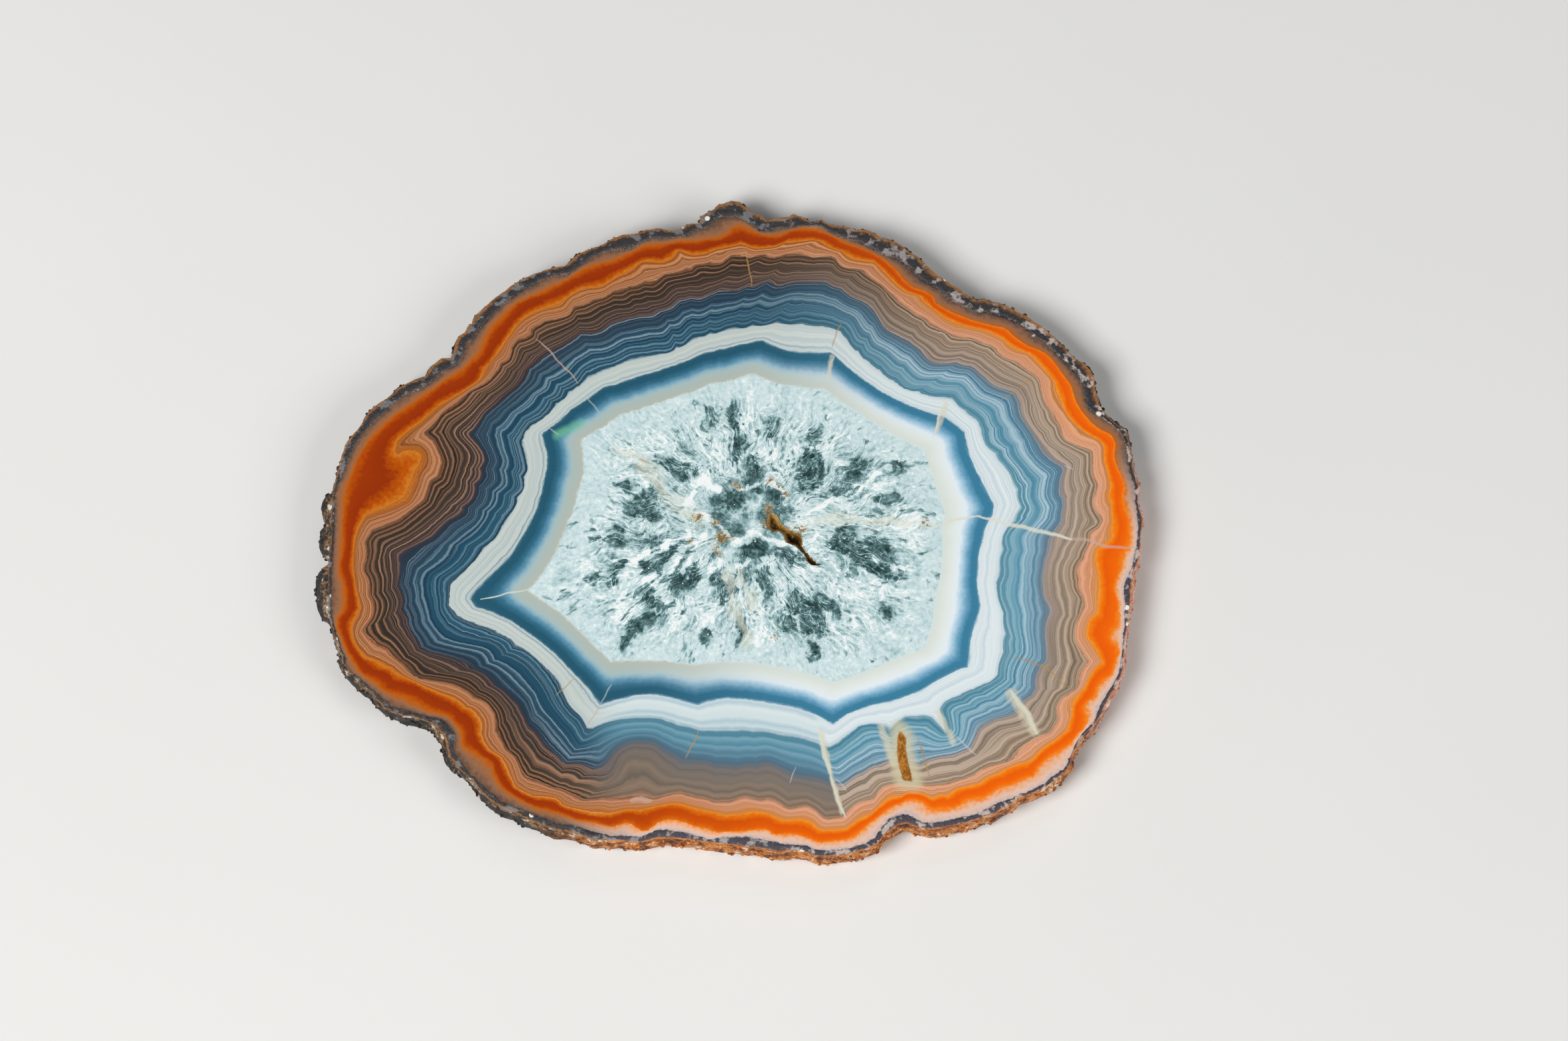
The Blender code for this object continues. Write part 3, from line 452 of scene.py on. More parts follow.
SEAMS = {"gold_seam": GOLD_SEAMS_MM, "pink_seam": PINK_SEAMS_MM, "pale_seam": PALE_SEAMS_MM,
         "faint_seam": FAINT_SEAMS_MM}
SEAM_TAPER = 0.7
# Pale cream hazes round some of the seams, and a painted iridescent green glint in the blue layer
HAZES_MM = (
    (0.8, ((27.6, -17.6), (29.9, -21.3))),
    (0.5, ((20.5, -19.4), (21.9, -22.4))),
    (0.55, ((14.9, -20.9), (16.1, -24.6))),
    (0.35, ((9.0, -21.2), (9.9, -25.4), (11.0, -29.4))),
    (0.4, ((21.6, 12.0), (20.6, 9.4))),
    (0.35, ((10.2, 17.0), (9.8, 15.0))),
)
PAINTED_GREEN_GLINT_MM = (
    (0.7, ((-17.2, 8.9), (-14.9, 10.0))),
)
# Domes that the layers bulge over: middle, reach in x and in y, and how many layers they lift
DOMES_MM = (
    (-9.2, -23.6, 3.0, 2.9, 0.42), (-3.0, -24.5, 2.4, 2.2, 0.1), (3.4, -24.6, 2.6, 2.2, 0.1),
)
LOBE_MM = (-33.0, 4.8)
GOLD_POCKET_MM = (
    (16.6, -21.0), (17.4, -22.0), (17.3, -23.0), (17.6, -24.5), (18.1, -26.4), (16.9, -26.3),
    (16.4, -24.0), (16.4, -22.3),
)

# Clear windows in the quartz heart, painted dark for the shade under the slice seen through them: place,
# length towards the middle, width and how clear each is
HEART_MIDDLE_MM = (1.5, 0.0)
HEART_WINDOWS_MM = (
    (7.8, 6.0, 1.8, 1.5, 1.0), (7.9, 4.4, 1.8, 1.6, 1.0), (-4.8, -2.9, 2.0, 1.2, 1.0),
    (-7.2, -4.1, 2.5, 1.5, 1.0), (-6.4, -4.6, 1.4, 1.0, 1.0), (-4.4, -5.9, 2.8, 2.0, 1.0),
    (-0.4, -7.2, 1.4, 1.0, 1.0), (0.3, 0.2, 2.0, 1.4, 1.0), (6.5, -8.6, 1.6, 1.2, 1.0),
    (7.8, -9.4, 2.5, 2.0, 1.0), (9.8, -8.6, 1.3, 0.8, 1.0), (7.6, -10.4, 1.3, 1.1, 1.0),
    (11.4, -1.1, 1.5, 1.0, 1.0), (11.8, -2.6, 3.0, 1.0, 1.0), (15.1, -2.7, 1.4, 0.8, 1.0),
    (12.9, -3.6, 1.5, 1.0, 1.0), (14.9, -5.0, 2.5, 0.9, 1.0),
    (-5.8, 5.6, 2.0, 1.0, 0.75), (-4.5, 5.3, 2.0, 0.8, 0.75), (-10.2, 3.5, 1.3, 0.8, 0.75),
    (-8.8, 2.3, 1.3, 0.8, 0.75), (-7.5, 2.7, 1.2, 0.8, 0.75), (0.4, 10.5, 2.5, 0.7, 0.85),
    (0.8, 7.7, 2.0, 1.2, 0.8), (4.2, 9.7, 1.6, 0.9, 0.75), (8.1, 8.7, 1.4, 0.7, 0.75),
    (12.4, 5.3, 2.5, 1.2, 0.8), (12.1, 4.6, 1.4, 0.8, 0.75), (11.3, 3.0, 1.6, 0.7, 0.75),
    (16.5, 5.3, 1.3, 0.7, 0.75), (15.8, 2.2, 2.0, 0.6, 0.75), (4.5, 2.6, 1.0, 0.8, 0.75),
    (3.9, 1.9, 0.9, 0.7, 0.75), (-8.9, 1.3, 2.5, 1.0, 0.75), (-7.8, 0.4, 1.3, 0.7, 0.75),
    (-11.6, -1.6, 1.3, 0.7, 0.75), (-10.8, -2.0, 1.5, 0.7, 0.75), (-11.1, -4.6, 1.4, 0.7, 0.75),
    (-13.6, -6.0, 1.3, 0.7, 0.75), (-11.5, -6.2, 1.3, 0.7, 0.75), (-1.2, -6.0, 1.3, 0.8, 0.75),
    (-7.8, -7.7, 1.4, 0.8, 0.75), (-7.6, -8.6, 1.4, 0.8, 0.75), (-8.2, -10.1, 2.0, 0.9, 0.8),
    (-9.4, -11.0, 2.5, 0.8, 0.8), (-10.5, -12.1, 1.3, 0.7, 0.75), (-2.5, -12.1, 1.4, 0.7, 0.75),
    (5.9, -3.7, 2.0, 1.5, 0.85), (3.9, -6.9, 1.6, 0.8, 0.75), (8.9, -7.7, 1.2, 0.7, 0.8),
    (5.6, -10.3, 1.5, 1.0, 0.8), (8.8, -11.1, 1.3, 0.8, 0.8), (8.2, -12.9, 1.2, 0.7, 0.7),
    (13.9, -2.4, 1.3, 0.7, 0.75), (14.2, -3.1, 1.3, 0.6, 0.75), (15.5, -3.7, 2.0, 0.8, 0.75),
    (16.9, -5.6, 1.3, 0.7, 0.75), (15.2, -9.3, 1.3, 0.9, 0.75), (1.2, -11.0, 2.4, 0.5, 0.7),
    (-1.8, 11.0, 2.0, 0.8, 0.6), (2.4, 5.3, 2.0, 1.3, 0.6), (-7.9, -1.9, 2.5, 0.8, 0.6),
    (1.9, -0.3, 2.0, 1.5, 0.6), (1.6, -5.1, 1.6, 1.3, 0.6), (3.4, -6.6, 4.0, 0.8, 0.6),
)

# Bright ridges of quartz: half-width and the points each runs through
HEART_RIDGES_MM = (
    (0.32, ((-9.6, -4.2), (-8.4, -3.7), (-7.0, -3.0), (-5.6, -2.2), (-4.4, -1.8))),
    (0.4, ((-8.2, -6.6), (-7.4, -5.8), (-6.4, -5.3), (-5.1, -4.1), (-3.9, -2.6), (-2.5, -1.7))),
    (0.25, ((-4.9, -5.0), (-4.0, -4.2))), (0.25, ((-1.8, -5.2), (-1.1, -4.0))),
    (0.26, ((-4.4, 2.0), (-3.4, 3.4), (-2.9, 4.6), (-2.3, 3.9))), (0.26, ((-2.0, 3.6), (-1.0, 2.9))),
    (0.2, ((7.2, 1.0), (9.0, 1.3), (10.3, 2.0), (12.0, 2.9), (13.6, 4.0), (14.8, 5.1))),
    (0.3, ((0.4, -2.4), (2.3, -1.4), (4.3, -1.8), (6.2, -2.9))), (0.22, ((0.4, -5.0), (2.2, -4.0))),
    (0.16, ((6.6, -4.5), (7.6, -5.4))), (0.16, ((7.8, -2.3), (8.4, -1.5))),
    (0.16, ((10.7, -7.1), (11.8, -7.8))), (0.16, ((10.8, -5.0), (11.9, -5.9), (13.0, -6.4))),
    (0.24, ((-3.2, 0.6), (-1.6, -0.4), (0.3, -2.0))),
    (0.18, ((0.7, 3.4), (2.6, 3.9), (4.8, 3.7), (5.6, 2.4))),
)

# Iron stains in the heart: place, size and strength
HEART_STAINS_MM = (
    (-3.2, 0.0, 0.5, 0.9), (-1.6, -0.4, 0.45, 0.9), (-0.9, -1.7, 0.55, 1.0), (0.0, -1.9, 0.4, 0.9),
    (-1.2, -2.9, 0.4, 0.7), (-0.9, -3.4, 0.35, 0.7), (-4.1, -2.1, 0.4, 0.6), (0.7, 3.6, 0.4, 0.8),
    (4.1, 4.1, 0.4, 0.8), (5.0, 3.7, 0.35, 0.8), (5.6, 2.6, 0.45, 1.0), (3.9, 1.1, 0.5, 0.8),
    (4.4, -11.6, 0.3, 0.5), (3.4, -0.2, 0.5, 0.8), (7.0, -0.7, 0.6, 0.7), (19.2, -0.5, 0.8, 0.5),
)
HEART_VEILS_MM = (
    (0.5, ((-11.0, 7.5), (-9.0, 6.0), (-7.5, 5.0), (-7.0, 3.0), (-3.0, 0.0))),
    (0.35, ((-0.3, -5.0), (0.3, -8.0), (1.5, -11.0), (2.0, -12.5))),
    (0.3, ((0.8, -5.0), (2.2, -9.0))),
    (0.35, ((6.0, -0.3), (11.0, 0.2), (18.4, -0.3))),
)

OUTLINES = [np.array(points) for points in (
    BACK_EDGE_MM + FRONT_EDGE_MM, DARK_RIND_MM, ORANGE_OUTER_MM, ORANGE_INNER_MM, BROWN_OUTER_MM,
    BLUE_OUTER_MM, WHITE_OUTER_MM, WHITE_INNER_MM, QUARTZ_MM)]
HEART_LAYER = len(OUTLINES) - 1
HEART_DEPTH_UNIT_MM = 20.0
SEAM_REACH = 6.0  # seams are measured no further than this many half-widths
BODY = "root"

RIND_SLOT = 1
VUG_SLOT = 2

# Where the crust changes, in degrees from the right end: start, end and softness
# The first sector is the front and right, where the crust is partly rustier in its own colour and partly
# painted lighter, with more painted glints
FRONT_RUST_AND_PAINTED_LIGHT_SECTOR = (-112.0, 4.0, 9.0)
CRUST_SECTORS = {"rusty": (-115.0, -28.0, 10.0), "salmon": (-30.0, 8.0, 6.0)}

# The bake map: both faces flat in one square, the rim in strips below them
MAP_WIDTH_MM = 83.2
MAP_HALF_DEPTH_MM = 34.4
STRIP_ROOM = 0.16
STRIP_TOP = 0.95
STRIP_FILL = 0.9
RIM_STRIPS = 3

# Colours through each layer from its outer to its inner edge, as seen on a screen; the colours at the right
# are lighter partly by painted light
RIND_LEFT = (
    (0.0, (146, 90, 42)), (0.14, (98, 64, 36)), (0.3, (36, 32, 32)), (0.6, (38, 36, 40)),
    (0.85, (66, 56, 54)), (1.0, (106, 80, 62)),
)
RIND_RIGHT = (
    (0.0, (206, 142, 96)), (0.08, (180, 116, 76)), (0.16, (100, 80, 78)), (0.24, (62, 58, 68)),
    (0.82, (60, 56, 66)), (0.93, (160, 142, 140)), (1.0, (220, 198, 188)),
)
PINK_LEFT = (
    (0.0, (104, 78, 62)), (0.4, (142, 102, 78)), (0.75, (164, 106, 64)), (1.0, (186, 94, 26)),
)
PINK_RIGHT = (
    (0.0, (206, 182, 174)), (0.4, (232, 196, 176)), (0.8, (242, 170, 118)), (1.0, (250, 132, 40)),
)
ORANGE_LEFT = (
    (0.0, (188, 96, 16)), (0.14, (184, 78, 0)), (0.3, (160, 54, 0)), (0.65, (152, 48, 0)),
    (0.85, (190, 84, 0)), (1.0, (206, 124, 34)),
)
ORANGE_RIGHT = (
    (0.0, (246, 138, 30)), (0.2, (250, 106, 0)), (0.6, (240, 94, 0)), (0.88, (250, 130, 10)),
    (1.0, (242, 154, 60)),
)
PEACH_LEFT = (
    (0.0, (204, 112, 30)), (0.16, (164, 92, 36)), (0.3, (202, 130, 80)), (0.42, (146, 90, 50)),
    (0.56, (200, 134, 94)), (0.66, (158, 104, 66)), (0.8, (196, 130, 94)), (0.92, (148, 100, 72)),
    (1.0, (96, 68, 50)),
)
PEACH_RIGHT = (
    (0.0, (236, 146, 56)), (0.25, (208, 140, 84)), (0.4, (236, 164, 122)), (0.55, (208, 146, 106)),
    (0.75, (238, 172, 138)), (0.92, (214, 156, 124)), (1.0, (150, 116, 90)),
)
BROWN_LEFT = (
    (0.0, (150, 98, 66)), (0.04, (64, 50, 40)), (0.09, (58, 48, 40)), (0.13, (156, 106, 74)),
    (0.17, (62, 52, 44)), (0.23, (60, 50, 42)), (0.27, (150, 106, 78)), (0.31, (58, 50, 44)),
    (0.4, (64, 54, 46)), (0.44, (142, 106, 82)), (0.48, (66, 56, 50)), (0.56, (60, 52, 48)),
    (0.6, (112, 88, 74)), (0.64, (62, 54, 50)), (0.72, (70, 60, 56)), (0.76, (132, 106, 92)),
    (0.8, (62, 54, 54)), (0.9, (72, 62, 62)), (0.94, (104, 84, 78)), (1.0, (62, 56, 62)),
)
BROWN_RIGHT = (
    (0.0, (196, 160, 128)), (0.08, (122, 106, 84)), (0.16, (192, 164, 140)), (0.24, (138, 122, 102)),
    (0.35, (198, 172, 150)), (0.44, (146, 130, 112)), (0.58, (192, 170, 150)), (0.7, (142, 128, 114)),
    (0.84, (190, 168, 152)), (0.93, (156, 142, 132)), (1.0, (162, 150, 146)),
)
BROWN_SMOOTH = (
    (0.0, (176, 134, 106)), (0.1, (120, 104, 88)), (0.2, (150, 128, 110)), (0.3, (108, 99, 88)),
    (0.42, (138, 122, 108)), (0.55, (112, 105, 96)), (0.68, (130, 119, 110)), (0.8, (108, 103, 100)),
    (0.9, (118, 113, 112)), (1.0, (98, 105, 112)),
)
BLUE_LEFT = (
    (0.0, (62, 56, 58)), (0.05, (44, 52, 64)), (0.12, (42, 60, 76)), (0.17, (60, 82, 98)),
    (0.22, (40, 64, 82)), (0.28, (48, 76, 94)), (0.31, (104, 132, 148)), (0.335, (44, 74, 92)),
    (0.41, (46, 80, 98)), (0.44, (112, 140, 154)), (0.465, (38, 76, 96)), (0.56, (34, 76, 98)),
    (0.66, (34, 80, 102)), (0.71, (92, 132, 148)), (0.735, (38, 82, 104)), (0.84, (44, 90, 112)),
    (0.87, (112, 148, 162)), (0.9, (40, 84, 106)), (0.965, (36, 74, 94)), (1.0, (158, 180, 186)),
)
BLUE_RIGHT = (
    (0.0, (136, 140, 144)), (0.08, (98, 124, 142)), (0.2, (128, 166, 184)), (0.26, (88, 134, 160)),
    (0.32, (172, 202, 214)), (0.38, (96, 148, 172)), (0.47, (170, 202, 214)), (0.56, (90, 150, 174)),
    (0.74, (140, 184, 198)), (0.84, (90, 148, 168)), (0.96, (98, 150, 166)), (1.0, (200, 216, 222)),
)
BLUE_SMOOTH = (
    (0.0, (104, 112, 120)), (0.12, (80, 110, 128)), (0.2, (72, 114, 136)), (0.27, (104, 142, 160)),
    (0.33, (80, 126, 148)), (0.44, (94, 142, 162)), (0.52, (118, 162, 178)), (0.58, (88, 140, 162)),
    (0.68, (102, 152, 172)), (0.76, (124, 168, 184)), (0.83, (82, 134, 156)), (0.93, (88, 140, 160)),
    (1.0, (188, 206, 212)),
)
WHITE_LEFT = (
    (0.0, (172, 188, 188)), (0.06, (196, 206, 202)), (0.4, (204, 211, 203)), (0.56, (182, 198, 198)),
    (0.64, (206, 212, 206)), (0.74, (200, 208, 203)), (0.8, (126, 154, 166)), (0.86, (186, 200, 200)),
    (0.95, (196, 207, 203)), (1.0, (84, 124, 142)),
)
WHITE_RIGHT = (
    (0.0, (200, 216, 224)), (0.1, (222, 233, 235)), (0.4, (232, 240, 241)), (0.55, (204, 220, 226)),
    (0.66, (228, 237, 239)), (0.95, (222, 232, 234)), (1.0, (112, 162, 186)),
)
WHITE_SMOOTH = (
    (0.0, (150, 182, 196)), (0.12, (206, 222, 226)), (0.26, (172, 200, 210)), (0.4, (212, 226, 229)),
    (0.72, (222, 233, 233)), (0.86, (180, 206, 216)), (0.95, (204, 220, 226)), (1.0, (100, 146, 172)),
)
DEEP_LEFT = (
    (0.0, (74, 116, 134)), (0.05, (40, 90, 112)), (0.2, (36, 88, 110)), (0.35, (54, 110, 136)),
    (0.48, (96, 148, 174)), (0.58, (146, 184, 198)), (0.66, (172, 192, 190)), (0.85, (178, 190, 183)),
    (0.95, (184, 190, 178)), (1.0, (204, 216, 214)),
)
DEEP_RIGHT = (
    (0.0, (92, 148, 174)), (0.05, (62, 128, 158)), (0.18, (62, 130, 162)), (0.3, (110, 166, 196)),
    (0.42, (176, 210, 230)), (0.54, (232, 242, 247)), (0.7, (232, 238, 234)), (0.93, (222, 229, 220)),
    (1.0, (218, 230, 228)),
)

# Each layer: colours at the left, at the right (lighter partly by painted light) and in the soft stretch, its
# scallops and its grain
LAYERS = (
    (RIND_LEFT, RIND_RIGHT, None, 0.8, 0.6),
    (PINK_LEFT, PINK_RIGHT, None, 0.8, 1.1),
    (ORANGE_LEFT, ORANGE_RIGHT, None, 1.1, 0.35),
    (PEACH_LEFT, PEACH_RIGHT, None, 1.4, 0.12),
    (BROWN_LEFT, BROWN_RIGHT, BROWN_SMOOTH, 0.7, 0.04),
    (BLUE_LEFT, BLUE_RIGHT, BLUE_SMOOTH, 0.45, 0.04),
    (WHITE_LEFT, WHITE_RIGHT, WHITE_SMOOTH, 0.34, 0.08),
    (DEEP_LEFT, DEEP_RIGHT, None, 0.14, 0.1),
)
CRUST_LAYERS = (0, 1)
SCALLOPED_EDGES = {1: 0.5, 2: 0.9, 3: 1.2, 4: 0.85, 5: 0.5, 6: 0.3}
# Layers with fine lines in them: the pale and the dark line's colour at the left and at the right, the right
# ones lighter partly by painted light
FINE_LINES = {
    3: ((218, 156, 108), (118, 70, 34), (244, 186, 150), (176, 118, 74)),
    4: ((176, 130, 98), (34, 30, 26), (212, 190, 170), (110, 98, 82)),
    5: ((132, 158, 172), (30, 58, 78), (190, 214, 224), (66, 120, 146)),
    6: ((218, 222, 216), (172, 190, 192), (238, 244, 244), (196, 214, 222)),
}

# Quartz from its clear grains, painted dark for the shade seen through them, to its white fibres
QUARTZ_STOPS = (
    (0.0, (34, 54, 54)), (0.16, (56, 82, 82)), (0.32, (90, 122, 124)), (0.46, (134, 166, 168)),
    (0.6, (174, 202, 204)), (0.74, (200, 222, 224)), (0.88, (220, 236, 236)), (1.0, (248, 252, 250)),
)
SEAM_FINISHES = (
    ("gold_seam", (178, 142, 84), 0.65),
    ("pink_seam", (206, 172, 156), 0.6),
    ("pale_seam", (226, 226, 210), 0.8),
    ("faint_seam", (206, 214, 210), 0.4),
)
DARK_CRUST_STOPS = (
    (0.0, (16, 14, 13)), (0.34, (40, 33, 28)), (0.48, (86, 62, 38)), (0.6, (152, 110, 56)),
    (0.72, (104, 96, 94)), (0.86, (184, 176, 160)), (1.0, (236, 230, 214)),
)
RUSTY_CRUST_STOPS = (
    (0.0, (34, 18, 8)), (0.3, (104, 54, 16)), (0.45, (184, 98, 26)), (0.6, (218, 136, 44)),
    (0.74, (206, 136, 76)), (0.87, (246, 214, 170)), (1.0, (254, 246, 234)),
)
SALMON_CRUST_STOPS = (
    (0.0, (150, 92, 72)), (0.3, (208, 136, 106)), (0.5, (236, 170, 142)), (0.7, (244, 198, 178)),
    (1.0, (254, 242, 234)),
)
# Inside the vug: iron-stained gold, painted darker as shade the deeper it lies
VUG_STAIN_AND_SHADE_STOPS = (
    (0.0, (196, 164, 104)), (0.4, (150, 108, 48)), (0.75, (100, 70, 28)), (1.0, (42, 29, 14)),
)


# Single tints, as seen on a screen; those in pairs go from dark to light, or from left to right, the right
# one lighter partly by painted light. The whites are painted glints and sparks
VEIL_CREAM = (224, 226, 208)
VEIL_RUST = (176, 150, 104)
STAIN_HALO = (222, 204, 156)
STAIN_BROWN = (124, 88, 34)
HAZE_CREAM = (222, 216, 190)
POCKET_HALO = (212, 204, 168)
POCKET_GOLDS = ((140, 84, 26), (188, 128, 54))
PAINTED_GLINT_GREEN = (122, 200, 156)
CRUST_SILVERS = ((126, 126, 128), (214, 200, 192))
CRUST_GOLD = (150, 100, 46)
CRUST_RUSTS = ((140, 72, 22), (228, 150, 72))
PAINTED_LIP_GLINT = (244, 240, 228)
PAINTED_HEART_SPARK = (252, 254, 252)
PAINTED_RIND_GLINT = (244, 236, 222)

# How strongly quartz bends light
QUARTZ_IOR = 1.54


def colour(red, green, blue):
    """A colour given as it looks on a screen, 0 to 255, as the linear values a shader takes."""
    shares = [value / 255 for value in (red, green, blue)]
    return tuple(v / 12.92 if v <= 0.04045 else ((v + 0.055) / 1.055) ** 2.4 for v in shares) + (1.0,)


def smooth_step(value, low, high):
    """0 below low, 1 above high and a soft slope between."""
    share = np.clip((value - low) / (high - low), 0.0, 1.0)
    return share * share * (3.0 - 2.0 * share)


def depth_inside(places, outline):
    """Distance of each place from a closed outline, positive inside it."""
    x, y = places.T
    nearest = np.full(len(places), np.inf)
    inside = np.zeros(len(places), bool)
    for start, end in zip(np.array(outline), np.roll(outline, -1, axis=0)):
        along = end - start
        share = np.clip(((places - start) @ along) / (along @ along), 0.0, 1.0)
        gap = np.hypot(x - start[0] - share * along[0], y - start[1] - share * along[1])
        nearest = np.minimum(nearest, gap)
        if along[1]:
            crossing = (start[1] > y) != (end[1] > y)
            inside ^= crossing & (x < start[0] + (y - start[1]) * along[0] / along[1])
    return np.where(inside, nearest, -nearest)


def gap_to_line(places, points, half_width, taper):
    """Distance of each place from an open line, in half-widths of the line where it is nearest."""
    nearest = np.full(len(places), np.inf)
    pieces = len(points) - 1
    for index, (start, end) in enumerate(zip(np.array(points[:-1]), np.array(points[1:]))):
        width = half_width * (1.0 - taper * abs(2.0 * (index + 0.5) / pieces - 1.0) ** 3)
        along = end - start
        share = np.clip(((places - start) @ along) / (along @ along), 0.0, 1.0)
        gap = np.hypot(*(places - start - share[:, None] * along).T) / width
        nearest = np.minimum(nearest, gap)
    return nearest


def gap_to_seams(places, seams, taper=0.0):
    """Distance from the nearest seam, in half-widths of that seam, and no more than SEAM_REACH."""
    gaps = [gap_to_line(places, points, half_width, taper) for half_width, points in seams]
    return np.minimum(np.min(gaps, axis=0), SEAM_REACH)


def wandered(places, sways):
    """The places moved about by smooth noise, once for each pair of wave size and reach."""
    for size, reach in sways:
        moved = [noise.noise_vector(Vector((x, y, SWAY_LEVEL)) / size)[:2] for x, y in places]
        places = places + reach * np.array(moved)
    return places


def stepped_line(points, step):
    """The points of a line with more between them, no further apart than step."""
    finer = []
    for (x, y), (next_x, next_y) in zip(points[:-1], points[1:]):
        pieces = ceil(hypot(next_x - x, next_y - y) / step)
        finer += [(x + (next_x - x) * n / pieces, y + (next_y - y) * n / pieces) for n in range(pieces)]
    return finer + [points[-1]]


def swayed_seams(seams):
    """The seams with their lines stepped finely and moved a little in and out of true."""
    return [(half_width, wandered(np.array(stepped_line(points, SEAM_STEP_MM)), SEAM_SWAYS_MM))
            for half_width, points in seams]


def chipped_edge(points, step):
    """The closed edge of the flat faces, with small chips in and out of line."""
    finer = []
    for x, y in stepped_line(list(points) + [points[0]], step)[:-1]:
        chip = EDGE_CHIP_MM * noise.noise_vector(Vector((x, y, EDGE_LEVEL)) / CHIP_SIZE_MM)
        finer.append((x + chip.x, y + chip.y))
    return np.array(finer)


def lattice(low, high, spacing):
    """Places on an even lattice of triangles."""
    columns = np.arange(low[0], high[0], spacing)
    rows = np.arange(low[1], high[1], spacing * 3**0.5 / 2)
    x, y = np.meshgrid(columns, rows)
    x[1::2] += spacing / 2
    return np.stack([x.ravel(), y.ravel()], axis=-1)


def lattice_inside(outline, spacing, room):
    """The places of a lattice that lie inside an outline, by more than some room."""
    places = lattice(outline.min(axis=0), outline.max(axis=0), spacing)
    return places[depth_inside(places, outline) > room]


def triangulated(edge, lines, filling):
    """Triangles inside an edge that pass through the filling places and keep the lines as edges."""
    places = [Vector(place) for place in edge]
    kept = [(index, (index + 1) % len(edge)) for index in range(len(edge))]
    for line in lines:
        kept += [(len(places) + index, len(places) + index + 1) for index in range(len(line) - 1)]
        places += [Vector(place) for place in line]
    places += [Vector(place) for place in filling]
    found, _, faces, origins, _, _ = geometry.delaunay_2d_cdt(places, kept, [], ONLY_INSIDE, TINY)
    where = {origin: index for index, group in enumerate(origins) for origin in group}
    ring = [where[index] for index in range(len(edge))]
    return np.array([place[:] for place in found]), np.array(faces), np.array(ring)


def band_value(places):
    """Which layer each place is in and how far through it: 0 at the edge, 1 more at each outline inwards."""
    depths = [depth_inside(places, outline) for outline in OUTLINES]
    value = np.zeros(len(places))
    for layer, (outer, inner) in enumerate(zip(depths[:-1], depths[1:])):
        share = outer / (outer + np.maximum(-inner, 0.0) + TINY)
        value = np.where(outer > 0.0, layer + np.clip(share, 0.0, 1.0), value)
    heart = depths[-1]
    value = np.where(heart > 0.0, HEART_LAYER + heart / HEART_DEPTH_UNIT_MM, value)
    for x, y, reach_x, reach_y, lift in DOMES_MM:
        value -= lift * np.exp(-(((places[:, 0] - x) / reach_x) ** 2) - ((places[:, 1] - y) / reach_y) ** 2)
    return np.maximum(value, 0.0), depths[0]


def window_value(places):
    """How clear the quartz is at each place of the heart, and so how dark the shade seen through it is
    painted. Its windows point away from its middle.
    """
    value = np.zeros(len(places))
    for x, y, length, width, clearness in HEART_WINDOWS_MM:
        out_x, out_y = x - HEART_MIDDLE_MM[0], y - HEART_MIDDLE_MM[1]
        reach = max(hypot(out_x, out_y), WINDOW_LEAST_REACH_MM)
        out_x, out_y = out_x / reach, out_y / reach
        step_x, step_y = places[:, 0] - x, places[:, 1] - y
        along = (step_x * out_x + step_y * out_y) / (length / 2 + WINDOW_RIM_MM)
        across = (step_y * out_x - step_x * out_y) / (width / 2 + WINDOW_RIM_MM)
        fall = np.exp(-WINDOW_FALL * (along**2 + across**2) ** WINDOW_POWER)
        value = np.maximum(value, clearness * fall)
    return value


def stain_value(places):
    """How strongly iron stains each place of the heart."""
    value = np.zeros(len(places))
    for x, y, size, strength in HEART_STAINS_MM:
        away = np.hypot(places[:, 0] - x, places[:, 1] - y)
        value = np.maximum(value, strength * np.exp(-(away**2) / size**2))
    return value


def soft_stretch(places):
    """Where the bands are soft and washed: 1 along the bottom, up to the cream vein."""
    x, y = places.T
    to_vein = VEIN_FOOT_MM[0] + VEIN_LEAN * (VEIN_FOOT_MM[1] - y) - x
    return smooth_step(x, *SOFT_START_MM) * smooth_step(to_vein, *SOFT_END_MM) * smooth_step(-y, *SOFT_TOP_MM)


def calm_stretch(places):
    """Where fine lines are few: the soft stretch, and the right end below the crack."""
    x, y = places.T
    below_crack = smooth_step(CRACK_HEIGHT_MM - CRACK_LEAN * x - y, *CRACK_EDGE_MM)
    right = smooth_step(x, *CALM_START_MM) * smooth_step(y, *CALM_FOOT_MM) * below_crack
    return np.maximum(soft_stretch(places), CALM_AT_THE_RIGHT * right)


def sector(places, start, end, softness):
    """1 between two angles round the stone, in degrees from its right end, and 0 outside them."""
    angle = np.degrees(np.arctan2(places[:, 1], places[:, 0]))
    rise = smooth_step(angle, start - softness, start + softness)
    return rise * (1.0 - smooth_step(angle, end - softness, end + softness))


def haze_and_painted_light_to_the_right(places):
    """The stone is lighter to the right, partly its own haze and partly painted light: 0 at the left and top,
    1 at the lower right.
    """
    angle = np.arctan2(places[:, 1], places[:, 0])
    share = (np.cos(angle + LIGHTEST_WAY) + LIGHT_SPREAD) / (1.0 + LIGHT_SPREAD)
    return smooth_step(share, 0.0, LIGHT_FULL)


def crust_height(x, y):
    """How far the crust lumps lift the rim at a place, in millimetres."""
    height = 0.0
    for (middle_x, middle_y), half_length, stand_out in CRUST_LUMPS_MM:
        share = hypot(x - middle_x, y - middle_y) / half_length
        if share < 1.0:
            height = max(height, stand_out * (1.0 - share**2) ** 0.5)
    return height


def rim_height(x, y, height_share):
    """How far the rough rim stands out at a place and height, in millimetres."""
    place = Vector((x, y, height_share * THICKNESS_MM))
    rough = RIM_BULGE_MM
    for reach, size in RIM_TEXTURES_MM:
        rough += reach * noise.noise(place / size)
    return sin(pi * height_share) ** RIM_ROUNDNESS * max(RIM_LEAST_MM, rough + crust_height(x, y))


